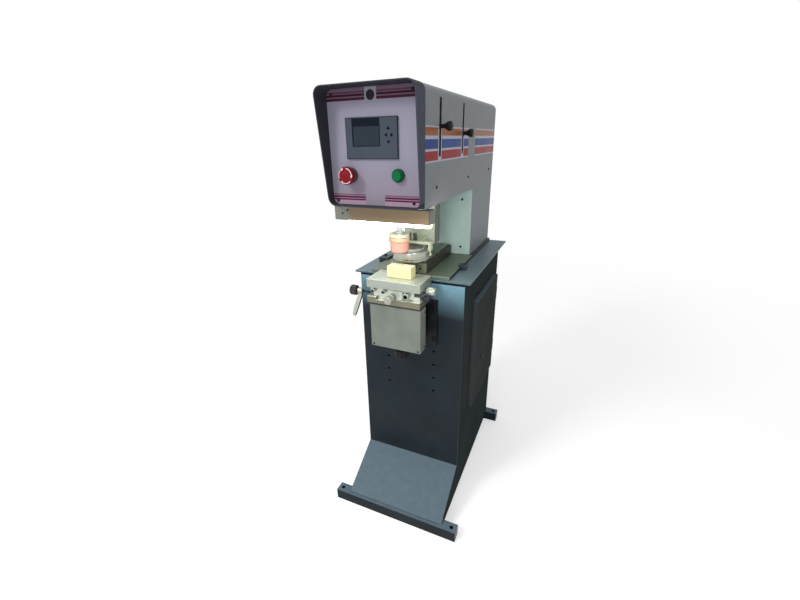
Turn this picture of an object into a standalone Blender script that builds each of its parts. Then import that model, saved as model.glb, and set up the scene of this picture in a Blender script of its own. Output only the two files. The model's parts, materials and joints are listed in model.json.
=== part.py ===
# Floor-standing pad printing machine with a closed ink cup.
# Metres, +Z up, the operator stands on the -Y side.
# The origin is on the floor, under the middle of the machine's outline.
import math

import bmesh
import bpy
from mathutils import Matrix, Vector

# Overall sizes
TABLE_HALF_WIDTH = 0.182
TABLE_FRONT = -0.156
TABLE_BACK = 0.381
TABLE_TOP = 0.799
TABLE_THICK = 0.005
CABINET_HALF_WIDTH = 0.166
CABINET_FRONT = -0.150
CABINET_BACK = 0.3225
SHEET = 0.0025
TOE_BEND_Z = 0.139
TOE_END_Y = -0.3083
FOOT_HALF_LENGTH = 0.2145
FOOT_HEIGHT = 0.038
FOOT_DEPTH = 0.034
FRONT_FOOT_Y = -0.319
REAR_FOOT_Y = 0.304
HEAD_X = -0.0055
HEAD_HALF_WIDTH = 0.1183
HEAD_FRONT = -0.328
HEAD_BACK = 0.365
HEAD_BOTTOM = 1.025
HEAD_TOP = 1.280
COLUMN_FRONT = 0.100
CASING_SHEET = 0.002
BED_TOP = 0.8095

# Printing line
PRINT_X = -0.005
PAD_Y = -0.208
CUP_Y = -0.126
RAIL_Z = 1.085

# Clearances: between pieces that touch, and round a shaft in its bore
GAP = 0.0003
RUNNING = 0.0004

# How deep fused shapes sink into each other, and how far a cutter runs past a face
SINK = 0.001
PAST = 0.010

SIDES = (-1, 1)
AXES = {"X": Vector((1, 0, 0)), "Y": Vector((0, 1, 0)), "Z": Vector((0, 0, 1))}


# Building helpers
def clear_scene():
    for item in list(bpy.data.objects):
        bpy.data.objects.remove(item, do_unlink=True)


def paint(name, colour, roughness, metallic=0.0):
    material = bpy.data.materials.new(name)
    material.use_nodes = True
    shader = material.node_tree.nodes["Principled BSDF"]
    shader.inputs["Base Color"].default_value = (*colour, 1.0)
    shader.inputs["Roughness"].default_value = roughness
    shader.inputs["Metallic"].default_value = metallic
    return material


def solid(name, mesh_builder, material, origin=(0, 0, 0)):
    """Turn a bmesh in world coordinates into an object whose origin is at origin."""
    bmesh.ops.remove_doubles(mesh_builder, verts=mesh_builder.verts, dist=1e-6)
    bmesh.ops.recalc_face_normals(mesh_builder, faces=mesh_builder.faces)
    bmesh.ops.translate(mesh_builder, verts=mesh_builder.verts, vec=-Vector(origin))
    mesh = bpy.data.meshes.new(name)
    mesh_builder.to_mesh(mesh)
    mesh_builder.free()
    item = bpy.data.objects.new(name, mesh)
    item.location = origin
    bpy.context.collection.objects.link(item)
    if material is not None:
        mesh.materials.append(material)
    mesh.shade_smooth()
    mesh.set_sharp_from_angle(angle=math.radians(30))
    return item


def add_box(mesh_builder, low, high):
    size = Vector(high) - Vector(low)
    middle = (Vector(high) + Vector(low)) / 2
    place = Matrix.Translation(middle) @ Matrix.Diagonal((*size, 1.0))
    bmesh.ops.create_cube(mesh_builder, size=1.0, matrix=place)


def boxes(*pairs):
    """Boxes, each given by its lowest and its highest corner."""
    mesh_builder = bmesh.new()
    for low, high in pairs:
        add_box(mesh_builder, low, high)
    return mesh_builder


def turn_to(axis, origin):
    rotation = AXES["Z"].rotation_difference(AXES[axis]).to_matrix().to_4x4()
    return Matrix.Translation(Vector(origin)) @ rotation


def add_rod(mesh_builder, start, axis, length, radius, segments=20):
    place = turn_to(axis, Vector(start) + AXES[axis] * (length / 2))
    bmesh.ops.create_cone(mesh_builder, cap_ends=True, segments=segments, radius1=radius,
                          radius2=radius, depth=length, matrix=place)


def rods(*specs, segments=20):
    """Rods, each given by its start, its axis, its length and its radius."""
    mesh_builder = bmesh.new()
    for start, axis, length, radius in specs:
        add_rod(mesh_builder, start, axis, length, radius, segments)
    return mesh_builder


def turned(profile, origin, axis, segments=32, ring=False):
    """Spin a profile of (radius, height) points round axis through origin."""
    mesh_builder = bmesh.new()
    points = [mesh_builder.verts.new((radius, 0.0, height)) for radius, height in profile]
    edges = [mesh_builder.edges.new(pair) for pair in zip(points, points[1:])]
    if ring:
        edges.append(mesh_builder.edges.new((points[-1], points[0])))
    bmesh.ops.spin(mesh_builder, geom=points + edges, cent=(0, 0, 0), axis=(0, 0, 1),
                   angle=math.tau, steps=segments, use_merge=True)
    bmesh.ops.remove_doubles(mesh_builder, verts=mesh_builder.verts, dist=1e-6)
    bmesh.ops.transform(mesh_builder, matrix=turn_to(axis, origin), verts=mesh_builder.verts)
    return mesh_builder


def prism(outline, axis, low, high):
    """Extrude a flat outline along axis; its points are the other two coordinates."""
    place = {
        "X": lambda first, second: (low, first, second),
        "Y": lambda first, second: (first, low, second),
        "Z": lambda first, second: (first, second, low),
    }[axis]
    mesh_builder = bmesh.new()
    face = mesh_builder.faces.new([mesh_builder.verts.new(place(*point)) for point in outline])
    grown = bmesh.ops.extrude_face_region(mesh_builder, geom=[face])
    moved = [item for item in grown["geom"] if isinstance(item, bmesh.types.BMVert)]
    bmesh.ops.translate(mesh_builder, verts=moved, vec=AXES[axis] * (high - low))
    return mesh_builder


def rounded_outline(centre, half_width, bottom, top, low_radius, top_radius, steps=5):
    """Outline of a rounded rectangle, anticlockwise from its lower right corner."""
    corners = [
        (centre + half_width, bottom, low_radius, -90),
        (centre + half_width, top, top_radius, 0),
        (centre - half_width, top, top_radius, 90),
        (centre - half_width, bottom, low_radius, 180),
    ]
    outline = []
    for x, z, radius, start in corners:
        if radius == 0:
            outline.append((x, z))
            continue
        middle_x = x - math.copysign(radius, x - centre)
        middle_z = z - math.copysign(radius, z - (bottom + top) / 2)
        for step in range(steps + 1):
            angle = math.radians(start + 90 * step / steps)
            outline.append((middle_x + radius * math.cos(angle),
                            middle_z + radius * math.sin(angle)))
    return outline


def louvres(middle_x, half_width, y, lowest, pitch, height, count=6):
    """Corners of the boxes that cut level ventilation slots through a panel at y."""
    return [((middle_x - half_width, y - PAST, lowest + pitch * row),
             (middle_x + half_width, y + PAST, lowest + pitch * row + height))
            for row in range(count)]


def helper(item):
    item.hide_render = True
    item.display_type = "WIRE"
    return item


def change(item, operation, mesh_builder):
    """Cut, or fuse on, the shape in mesh_builder with an exact boolean."""
    tool = helper(solid(f"{item.name}_tool_{len(item.modifiers)}", mesh_builder, None))
    modifier = item.modifiers.new(operation.lower(), "BOOLEAN")
    modifier.operation = operation
    modifier.solver = "EXACT"
    modifier.object = tool


def cut(item, *mesh_builders):
    for mesh_builder in mesh_builders:
        change(item, "DIFFERENCE", mesh_builder)


def fuse(item, *mesh_builders):
    for mesh_builder in mesh_builders:
        change(item, "UNION", mesh_builder)


def soften(item, width, segments=1):
    bevel = item.modifiers.new("soft_edges", "BEVEL")
    bevel.width = width
    bevel.segments = segments
    bevel.limit_method = "ANGLE"
    bevel.angle_limit = math.radians(40)


clear_scene()

CABINET_BLUE = paint("cabinet_blue", (0.05, 0.075, 0.09), 0.25)
HEAD_GREY = paint("head_grey", (0.2, 0.22, 0.22), 0.4)
VISOR_GREY = paint("visor_grey", (0.04, 0.05, 0.06), 0.45)
PANEL_GREY = paint("panel_grey", (0.36, 0.34, 0.40), 0.4)
COVER_GREY = paint("cover_grey", (0.23, 0.24, 0.22), 0.45)
BRIGHT_ALUMINIUM = paint("bright_aluminium", (0.62, 0.66, 0.62), 0.35, 1.0)
BRIGHT_STEEL = paint("bright_steel", (0.62, 0.62, 0.60), 0.2, 1.0)
DARK_STEEL = paint("dark_steel", (0.07, 0.075, 0.06), 0.4, 1.0)
BLACK_PLASTIC = paint("black_plastic", (0.02, 0.02, 0.02), 0.45)
HMI_GREY = paint("hmi_grey", (0.10, 0.125, 0.14), 0.5)
DARK_GLASS = paint("dark_glass", (0.015, 0.02, 0.03), 0.1)
STOP_RED = paint("stop_red", (0.55, 0.03, 0.03), 0.35)
START_GREEN = paint("start_green", (0.02, 0.30, 0.12), 0.35)
PAD_PINK = paint("pad_pink", (0.85, 0.45, 0.35), 0.5)
RESIN_CREAM = paint("resin_cream", (0.86, 0.82, 0.58), 0.55)
LAMP_WHITE = paint("lamp_white", (0.95, 0.95, 0.92), 0.5)


# Foot bars: square tube with welded ends and one anchor hole near each end
FOOT_WALL = 0.003
FOOT_HOLE_X = 0.198
FOOT_HOLE_RADIUS = 0.006


def foot_bar(name, front):
    low = Vector((-FOOT_HALF_LENGTH, front, 0.0))
    high = Vector((FOOT_HALF_LENGTH, front + FOOT_DEPTH, FOOT_HEIGHT))
    wall = Vector((FOOT_WALL,) * 3)
    bar = solid(name, boxes((low, high)), CABINET_BLUE)
    holes = [((side * FOOT_HOLE_X, front + FOOT_DEPTH / 2, -PAST), "Z", FOOT_HEIGHT + 2 * PAST,
              FOOT_HOLE_RADIUS) for side in SIDES]
    cut(bar, boxes((low + wall, high - wall)), rods(*holes, segments=16))


foot_bar("front_foot_bar", FRONT_FOOT_Y)
foot_bar("rear_foot_bar", REAR_FOOT_Y)

# Cabinet front: one folded sheet, upright above and slanted forwards as a toe plate below
CABINET_TOP = TABLE_TOP - TABLE_THICK - GAP
TOE_LIFT = 0.0024
TOE_END_Z = FOOT_HEIGHT + TOE_LIFT
HOLE_COLUMNS = (-0.0785, 0.0770)
HOLE_LOWEST = 0.4185
HOLE_PITCH = 0.048
HOLE_COUNT = 7
HOLE_RADIUS = 0.0045


def sheet_line(offset):
    """Front sheet's line, moved inwards by offset: its top, its bend and its lower end."""
    run = Vector((TOE_END_Y - CABINET_FRONT, TOE_END_Z - TOE_BEND_Z)).normalized()
    inward = Vector((-run.y, run.x))
    start = Vector((CABINET_FRONT, TOE_BEND_Z)) + inward * offset
    reach = (CABINET_FRONT + offset - start.x) / run.x
    bend = start + run * reach
    end = Vector((TOE_END_Y, TOE_END_Z)) + inward * offset
    return [(CABINET_FRONT + offset, CABINET_TOP), tuple(bend), tuple(end)]


cabinet_front = solid(
    "cabinet_front",
    prism(sheet_line(0.0) + sheet_line(SHEET)[::-1], "X", -CABINET_HALF_WIDTH, CABINET_HALF_WIDTH),
    CABINET_BLUE)
cut(cabinet_front, rods(*[((x, CABINET_FRONT - PAST, HOLE_LOWEST + HOLE_PITCH * row), "Y",
                           SHEET + 2 * PAST, HOLE_RADIUS)
                          for x in HOLE_COLUMNS for row in range(HOLE_COUNT)], segments=10))

# Cabinet sides: they follow the toe plate down to the front foot bar
DOOR_FRONT = -0.038
DOOR_BACK = 0.264
DOOR_BOTTOM = 0.308
DOOR_TOP = 0.700
SIDE_LIFT = 0.020
DOOR_REBATE = 0.018

side_top, side_bend, side_end = sheet_line(SHEET + GAP)
front_bar_back = FRONT_FOOT_Y + FOOT_DEPTH + GAP
on_bar = FOOT_HEIGHT + GAP
side_outline = [
    side_top, side_bend, (side_end[0], on_bar), (front_bar_back, on_bar),
    (front_bar_back, SIDE_LIFT), (REAR_FOOT_Y - GAP, SIDE_LIFT), (REAR_FOOT_Y - GAP, on_bar),
    (CABINET_BACK, on_bar), (CABINET_BACK, CABINET_TOP),
]
solid("cabinet_left_side",
      prism(side_outline, "X", -CABINET_HALF_WIDTH, -CABINET_HALF_WIDTH + SHEET), CABINET_BLUE)
right_side = solid("cabinet_right_side",
                   prism(side_outline, "X", CABINET_HALF_WIDTH - SHEET, CABINET_HALF_WIDTH),
                   CABINET_BLUE)
cut(right_side, boxes(((CABINET_HALF_WIDTH - PAST, DOOR_FRONT + DOOR_REBATE, DOOR_BOTTOM + DOOR_REBATE),
                       (CABINET_HALF_WIDTH + PAST, DOOR_BACK - DOOR_REBATE, DOOR_TOP - DOOR_REBATE))))

# Cabinet rear panel with ventilation slots
REAR_PANEL_BACK = CABINET_BACK - 0.0005
REAR_PANEL_FRONT = REAR_PANEL_BACK - SHEET
REAR_PANEL_HALF = CABINET_HALF_WIDTH - SHEET - GAP
CABINET_SLOT_HALF = 0.050
CABINET_SLOT_LOWEST = 0.600
CABINET_SLOT_PITCH = 0.020
CABINET_SLOT_HEIGHT = 0.006

cabinet_rear = solid("cabinet_rear", boxes(((-REAR_PANEL_HALF, REAR_PANEL_FRONT, on_bar),
                                            (REAR_PANEL_HALF, REAR_PANEL_BACK, CABINET_TOP))), CABINET_BLUE)
cut(cabinet_rear, boxes(*louvres(0.0, CABINET_SLOT_HALF, REAR_PANEL_FRONT, CABINET_SLOT_LOWEST,
                                 CABINET_SLOT_PITCH, CABINET_SLOT_HEIGHT)))

# Table top: one thick plate that overhangs the cabinet on every side
solid("table_top", boxes(((-TABLE_HALF_WIDTH, TABLE_FRONT, TABLE_TOP - TABLE_THICK),
                          (TABLE_HALF_WIDTH, TABLE_BACK, TABLE_TOP))), CABINET_BLUE)

# Door: a shallow tray that stands proud of the right side, on lift-off hinges at its rear edge
DOOR_FACE_X = 0.1815
DOOR_STANDOFF = 0.0005
DOOR_SHEET = 0.0015
HINGE_X = 0.1775
HINGE_Y = DOOR_BACK + 0.0065
HINGE_ZS = (0.375, 0.600)
BARREL_RADIUS = 0.004
BARREL_HALF = 0.024
KNUCKLE_GAP = 0.0005
WEB_HALF = 0.002
PIN_RADIUS = 0.00175
PIN_LIFT = 0.002
LEAF_SHEET = 0.002
LEAF_START = HINGE_Y + 0.001
LEAF_END = HINGE_Y + 0.030
LEAF_ARM = 0.002
LOCK_Y = 0.060
LOCK_Z = 0.4575
LOCK_HOLE_RADIUS = 0.0053

door = solid("side_door", boxes(((CABINET_HALF_WIDTH + DOOR_STANDOFF, DOOR_FRONT, DOOR_BOTTOM),
                                 (DOOR_FACE_X, DOOR_BACK, DOOR_TOP))),
             CABINET_BLUE, origin=(HINGE_X, HINGE_Y, (DOOR_BOTTOM + DOOR_TOP) / 2))
cut(door,
    boxes(((CABINET_HALF_WIDTH - PAST, DOOR_FRONT + DOOR_SHEET, DOOR_BOTTOM + DOOR_SHEET),
           (DOOR_FACE_X - DOOR_SHEET, DOOR_BACK - DOOR_SHEET, DOOR_TOP - DOOR_SHEET))),
    rods(((DOOR_FACE_X - PAST, LOCK_Y, LOCK_Z), "X", 2 * PAST, LOCK_HOLE_RADIUS), segments=16))
for hinge_z in HINGE_ZS:
    knuckle_z = hinge_z + BARREL_HALF + KNUCKLE_GAP
    fuse(door,
         boxes(((HINGE_X - WEB_HALF, DOOR_BACK - SINK, knuckle_z),
                (HINGE_X + WEB_HALF, HINGE_Y - BARREL_RADIUS / 2, knuckle_z + BARREL_HALF))),
         rods(((HINGE_X, HINGE_Y, knuckle_z), "Z", BARREL_HALF, BARREL_RADIUS), segments=16))
cut(door, rods(*[((HINGE_X, HINGE_Y, hinge_z), "Z", 2 * BARREL_HALF + PAST, PIN_RADIUS + RUNNING)
                 for hinge_z in HINGE_ZS], segments=16))

for hinge_name, hinge_z in zip(("lower_door_hinge", "upper_door_hinge"), HINGE_ZS):
    barrel_top = hinge_z + BARREL_HALF
    leaf_x = CABINET_HALF_WIDTH + GAP
    hinge = solid(hinge_name, boxes(((leaf_x, LEAF_START, hinge_z),
                                     (leaf_x + LEAF_SHEET, LEAF_END, barrel_top))), DARK_STEEL)
    fuse(hinge,
         boxes(((leaf_x + LEAF_SHEET / 2, LEAF_START, hinge_z),
                (HINGE_X, LEAF_START + LEAF_ARM, barrel_top))),
         rods(((HINGE_X, HINGE_Y, hinge_z), "Z", BARREL_HALF, BARREL_RADIUS), segments=16),
         rods(((HINGE_X, HINGE_Y, hinge_z + PIN_LIFT), "Z", 2 * (BARREL_HALF - PIN_LIFT), PIN_RADIUS),
              segments=16))

# Cam lock: round body in the door with a long tongue behind it, drawn unlocked
TONGUE_FRONT_X = 0.1618
TONGUE_BACK_X = 0.1590
TONGUE_HALF = 0.007
TONGUE_TOP = 0.008
TONGUE_REACH = 0.095
LOCK_BODY = [(0.0, -0.022), (0.0047, -0.022), (0.0047, GAP), (0.008, GAP), (0.008, 0.003),
             (0.0065, 0.0042), (0.0, 0.0042)]
KEYWAY_DEPTH_X = DOOR_FACE_X + 0.0028
KEYWAY_HALF_WIDTH = 0.0007
KEYWAY_HALF_LENGTH = 0.004

door_lock = solid("door_lock", turned(LOCK_BODY, (DOOR_FACE_X, LOCK_Y, LOCK_Z), "X", 20),
                  BRIGHT_STEEL, origin=(DOOR_FACE_X, LOCK_Y, LOCK_Z))
fuse(door_lock, boxes(((TONGUE_BACK_X, LOCK_Y - TONGUE_HALF, LOCK_Z - TONGUE_REACH),
                       (TONGUE_FRONT_X, LOCK_Y + TONGUE_HALF, LOCK_Z + TONGUE_TOP))))
cut(door_lock, boxes(((KEYWAY_DEPTH_X, LOCK_Y - KEYWAY_HALF_WIDTH, LOCK_Z - KEYWAY_HALF_LENGTH),
                      (KEYWAY_DEPTH_X + PAST, LOCK_Y + KEYWAY_HALF_WIDTH, LOCK_Z + KEYWAY_HALF_LENGTH))))

# Knee rail: bolted to the cabinet front through its rows of holes, it guides the knee
RAIL_LOW = 0.5935
RAIL_HIGH = 0.7365
RAIL_PLATE_HALF = 0.089
RAIL_PLATE_BACK = CABINET_FRONT - GAP
RAIL_PLATE_FRONT = RAIL_PLATE_BACK - 0.010
RAIL_FRONT = RAIL_PLATE_FRONT - 0.0135
RAIL_HALF = 0.028
SCREW_Y = -0.2080
SCREW_RADIUS = 0.005
SCREW_BORE = 0.0055
LUG_HALF = 0.012
LUG_FRONT = SCREW_Y - 0.0115
LUG_LOW = 0.640
LUG_HIGH = 0.656

knee_rail = solid("knee_rail", boxes(((-RAIL_PLATE_HALF, RAIL_PLATE_FRONT, RAIL_LOW),
                                      (RAIL_PLATE_HALF, RAIL_PLATE_BACK, RAIL_HIGH))), DARK_STEEL)
fuse(knee_rail,
     boxes(((PRINT_X - RAIL_HALF, RAIL_FRONT, RAIL_LOW),
            (PRINT_X + RAIL_HALF, RAIL_PLATE_FRONT + SINK, RAIL_HIGH))),
     boxes(((PRINT_X - LUG_HALF, LUG_FRONT, LUG_LOW),
            (PRINT_X + LUG_HALF, RAIL_FRONT + SINK, LUG_HIGH))))
cut(knee_rail, rods(((PRINT_X, SCREW_Y, LUG_LOW - PAST), "Z", LUG_HIGH - LUG_LOW + 2 * PAST, SCREW_BORE)))

# Knee: a dark casting that straddles the rail and carries the cross table on its flange
TABLE_X = -0.008
PLATE_HALF = 0.0805
PLATE_FRONT = -0.2545
FLANGE_LOW = 0.7400
FLANGE_HIGH = 0.7445
FLANGE_BACK = -0.1765
FLANGE_INSET = 0.001
CHEEK_BACK = RAIL_PLATE_FRONT - 0.0005
CHEEK_IN = 0.0285
CHEEK_OUT = 0.055
CHEEK_LOW = 0.612
CHEEK_HIGH = 0.742
KNEE_FRONT = -0.2495
POCKET_FRONT = SCREW_Y - 0.0150
POCKET_LOW = CHEEK_LOW + 0.010

knee_slide = solid("knee_slide",
                   boxes(((PRINT_X - CHEEK_OUT, KNEE_FRONT, CHEEK_LOW),
                          (PRINT_X + CHEEK_OUT, CHEEK_BACK, CHEEK_HIGH))),
                   DARK_STEEL, origin=(PRINT_X, SCREW_Y, FLANGE_LOW))
cut(knee_slide,
    boxes(((PRINT_X - CHEEK_IN, POCKET_FRONT, POCKET_LOW),
           (PRINT_X + CHEEK_IN, CHEEK_BACK + PAST, FLANGE_LOW))),
    boxes(((PRINT_X - CHEEK_IN, RAIL_FRONT - 0.0005, CHEEK_LOW - PAST),
           (PRINT_X + CHEEK_IN, CHEEK_BACK + PAST, CHEEK_HIGH + PAST))),
    rods(((PRINT_X, SCREW_Y, CHEEK_LOW - PAST), "Z", POCKET_LOW - CHEEK_LOW + 2 * PAST, SCREW_BORE)))
fuse(knee_slide, boxes(((TABLE_X - PLATE_HALF + FLANGE_INSET, PLATE_FRONT + FLANGE_INSET, FLANGE_LOW),
                        (TABLE_X + PLATE_HALF - FLANGE_INSET, FLANGE_BACK, FLANGE_HIGH))))

# Knee cover: a folded grey sheet round the front of the knee
COVER_LEFT = -0.0815
COVER_RIGHT = 0.0735
COVER_FRONT = -0.2530
COVER_BACK = -0.2125
COVER_LOW = 0.6068
COVER_HIGH = FLANGE_LOW - 0.0008
COVER_SHEET = 0.002
COVER_HOLE_RADIUS = 0.0105

knee_cover = solid("knee_cover", boxes(((COVER_LEFT, COVER_FRONT, COVER_LOW),
                                        (COVER_RIGHT, COVER_BACK, COVER_HIGH))), COVER_GREY)
cut(knee_cover,
    boxes(((COVER_LEFT + COVER_SHEET, COVER_FRONT + COVER_SHEET, COVER_LOW + COVER_SHEET),
           (COVER_RIGHT - COVER_SHEET, COVER_BACK + PAST, COVER_HIGH + PAST))),
    rods(((PRINT_X, SCREW_Y, COVER_LOW - PAST), "Z", COVER_SHEET + 2 * PAST, COVER_HOLE_RADIUS)))

# Lift screw, with a black hand knob moulded on its lower end and a collar under the knee
KNOB_HIGH = 0.596
LIFT_SCREW = [(0.0, -0.034), (0.016, -0.034), (0.022, -0.030), (0.024, -0.026), (0.024, -0.012),
              (0.021, -0.008), (0.010, -0.006), (0.010, 0.0), (SCREW_RADIUS, 0.0),
              (SCREW_RADIUS, 0.006), (0.008, 0.006), (0.008, 0.0135), (SCREW_RADIUS, 0.0135),
              (SCREW_RADIUS, 0.132), (0.0, 0.132)]

screw_axis = (PRINT_X, SCREW_Y, KNOB_HIGH)
solid("lift_screw", turned(LIFT_SCREW, screw_axis, "Z", 24), BLACK_PLASTIC, origin=screw_axis)

# Cross table, lower plate: grooved along Y for the slide above it
LOWER_LOW = FLANGE_HIGH + GAP
LOWER_HIGH = 0.7635
LOWER_FRONT = PLATE_FRONT - 0.001
LOWER_BACK = FLANGE_BACK + 0.001
GROOVE_LEFT = -0.0605
GROOVE_RIGHT = -0.0345
GROOVE_DEPTH = 0.008

lower_plate = solid("lower_plate", boxes(((TABLE_X - PLATE_HALF, LOWER_FRONT, LOWER_LOW),
                                          (TABLE_X + PLATE_HALF, LOWER_BACK, LOWER_HIGH))), BRIGHT_ALUMINIUM)
cut(lower_plate, boxes(((GROOVE_LEFT, LOWER_FRONT - PAST, LOWER_HIGH - GROOVE_DEPTH),
                        (GROOVE_RIGHT, LOWER_BACK + PAST, LOWER_HIGH + PAST))))

# Cross table, slide that moves in and out: a tongue in the lower plate, a saddle block in front
Y_SLIDE_LOW = LOWER_HIGH + GAP
Y_SLIDE_HIGH = 0.7755
Y_SLIDE_FRONT = -0.2445
Y_SLIDE_BACK = -0.181
Y_SLIDE_LEFT = -0.072
Y_SLIDE_RIGHT = 0.068
SADDLE_FRONT = -0.2535
SADDLE_BACK = SADDLE_FRONT + 0.007
SADDLE_LEFT = -0.0190
SADDLE_RIGHT = 0.0200
SADDLE_HIGH = 0.7890
X_GROOVE_FRONT = -0.2060
X_GROOVE_BACK = -0.1900
X_GROOVE_DEPTH = 0.006
LOCK_SHAFT_Y = -0.235
LOCK_SHAFT_Z = 0.7675
LOCK_SHAFT_RADIUS = 0.0030
LOCK_SHAFT_BORE = LOCK_SHAFT_RADIUS + RUNNING
LOCK_BORE_DEPTH = 0.015
SIDE_LOCK_Y = -0.225
SIDE_LOCK_Z = 0.7680
FEED_X = -0.0109
FEED_Z = 0.7680
FEED_RADIUS = 0.0030
FEED_BORE = FEED_RADIUS + RUNNING
FEED_BORE_DEPTH = 0.0465

y_slide = solid("y_slide", boxes(((Y_SLIDE_LEFT, Y_SLIDE_FRONT, Y_SLIDE_LOW),
                                  (Y_SLIDE_RIGHT, Y_SLIDE_BACK, Y_SLIDE_HIGH))), BRIGHT_ALUMINIUM)
fuse(y_slide,
     boxes(((GROOVE_LEFT + GAP, Y_SLIDE_FRONT, LOWER_HIGH - GROOVE_DEPTH + GAP),
            (GROOVE_RIGHT - GAP, Y_SLIDE_BACK, Y_SLIDE_LOW + SINK))),
     boxes(((SADDLE_LEFT, SADDLE_FRONT, Y_SLIDE_LOW + 0.0008),
            (SADDLE_RIGHT, Y_SLIDE_FRONT + SINK, Y_SLIDE_HIGH - SINK))),
     boxes(((SADDLE_LEFT, SADDLE_FRONT, Y_SLIDE_HIGH - 2 * SINK), (SADDLE_RIGHT, SADDLE_BACK, SADDLE_HIGH))))
cut(y_slide,
    boxes(((Y_SLIDE_LEFT - PAST, X_GROOVE_FRONT, Y_SLIDE_HIGH - X_GROOVE_DEPTH),
           (Y_SLIDE_RIGHT + PAST, X_GROOVE_BACK, Y_SLIDE_HIGH + PAST))),
    rods(((Y_SLIDE_LEFT - PAST, LOCK_SHAFT_Y, LOCK_SHAFT_Z), "X", LOCK_BORE_DEPTH + PAST, LOCK_SHAFT_BORE),
         ((Y_SLIDE_RIGHT - LOCK_BORE_DEPTH, SIDE_LOCK_Y, SIDE_LOCK_Z), "X", LOCK_BORE_DEPTH + PAST,
          LOCK_SHAFT_BORE), segments=16),
    rods(((FEED_X, SADDLE_FRONT - PAST, FEED_Z), "Y", FEED_BORE_DEPTH + PAST, FEED_BORE), segments=16))

# Cross table, slide that moves left and right on a tongue
X_SLIDE_LOW = Y_SLIDE_HIGH + GAP
X_SLIDE_HIGH = 0.7900
X_SLIDE_LEFT = -0.080
X_SLIDE_RIGHT = 0.052
X_SLIDE_FRONT = -0.246
X_SLIDE_BACK = -0.178
X_FEED_Y = -0.2125
X_FEED_Z = 0.7858
X_FEED_BORE_DEPTH = 0.048

x_slide = solid("x_slide", boxes(((X_SLIDE_LEFT, X_SLIDE_FRONT, X_SLIDE_LOW),
                                  (X_SLIDE_RIGHT, X_SLIDE_BACK, X_SLIDE_HIGH))), BRIGHT_ALUMINIUM)
fuse(x_slide, boxes(((X_SLIDE_LEFT, X_GROOVE_FRONT + GAP, Y_SLIDE_HIGH - X_GROOVE_DEPTH + GAP),
                     (X_SLIDE_RIGHT, X_GROOVE_BACK - GAP, X_SLIDE_LOW + SINK))))
cut(x_slide, rods(((X_SLIDE_RIGHT - X_FEED_BORE_DEPTH, X_FEED_Y, X_FEED_Z), "X", X_FEED_BORE_DEPTH + PAST,
                   FEED_BORE), segments=16))

# Work plate on top of the cross table, with tapped holes for fixtures
WORK_LOW = X_SLIDE_HIGH + GAP
WORK_TOP = 0.8145
WORK_BACK = -0.166
TAPPED_XS = (TABLE_X - 0.062, TABLE_X + 0.062)
TAPPED_YS = (-0.240, -0.180)
TAPPED_DEPTH = 0.008
TAPPED_RADIUS = 0.0025

work_plate = solid("work_plate", boxes(((TABLE_X - PLATE_HALF, PLATE_FRONT, WORK_LOW),
                                        (TABLE_X + PLATE_HALF, WORK_BACK, WORK_TOP))), BRIGHT_ALUMINIUM)
cut(work_plate, rods(*[((x, y, WORK_TOP - TAPPED_DEPTH), "Z", TAPPED_DEPTH + PAST, TAPPED_RADIUS)
                       for x in TAPPED_XS for y in TAPPED_YS], segments=10))

# Feed knobs: plain silver drums on the ends of the two feed screws
DRUM_LENGTH = 0.0245
DRUM_CHAMFER = 0.001
Y_KNOB_FRONT = PLATE_FRONT - 0.0285
X_KNOB_RIGHT = TABLE_X + PLATE_HALF + 0.0300


def feed_knob(name, origin, axis, outward, drum_radius, screw_length):
    """Drum whose outer face is at origin, with its screw running inwards."""
    profile = [(0.0, 0.0), (drum_radius - DRUM_CHAMFER, 0.0), (drum_radius, DRUM_CHAMFER),
               (drum_radius, DRUM_LENGTH - DRUM_CHAMFER), (drum_radius - DRUM_CHAMFER, DRUM_LENGTH),
               (FEED_RADIUS, DRUM_LENGTH), (FEED_RADIUS, screw_length), (0.0, screw_length)]
    solid(name, turned([(radius, -outward * depth) for radius, depth in profile], origin, axis, 24),
          BRIGHT_STEEL, origin=origin)


feed_knob("y_knob", (FEED_X, Y_KNOB_FRONT, FEED_Z), "Y", -1, 0.0110, 0.070)
feed_knob("x_knob", (X_KNOB_RIGHT, X_FEED_Y, X_FEED_Z), "X", 1, 0.0120, 0.090)

# Black locking knob and silver clamping lever on the left, on one shaft
LOCK_KNOB_LEFT = -0.1505
LOCK_KNOB = [(0.0, 0.0), (0.0125, 0.0), (0.0147, 0.002), (0.0147, 0.018), (0.0120, 0.0205), (0.0070, 0.0215),
             (LOCK_SHAFT_RADIUS, 0.0220), (LOCK_SHAFT_RADIUS, 0.0850), (0.0, 0.0850)]
LEVER_X = -0.1270
LEVER_HUB = [(LOCK_SHAFT_BORE, 0.0), (0.0080, 0.0), (0.0095, 0.0015), (0.0095, 0.0120), (0.0070, 0.0150),
             (LOCK_SHAFT_BORE, 0.0150)]
LEVER_ARM = [(-0.1140, 0.7625), (-0.1245, 0.7625), (-0.1410, 0.7230), (-0.1500, 0.6900), (-0.1475, 0.6845),
             (-0.1420, 0.6850), (-0.1285, 0.7180), (-0.1140, 0.7580)]
LEVER_HALF_THICK = 0.0045

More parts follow.
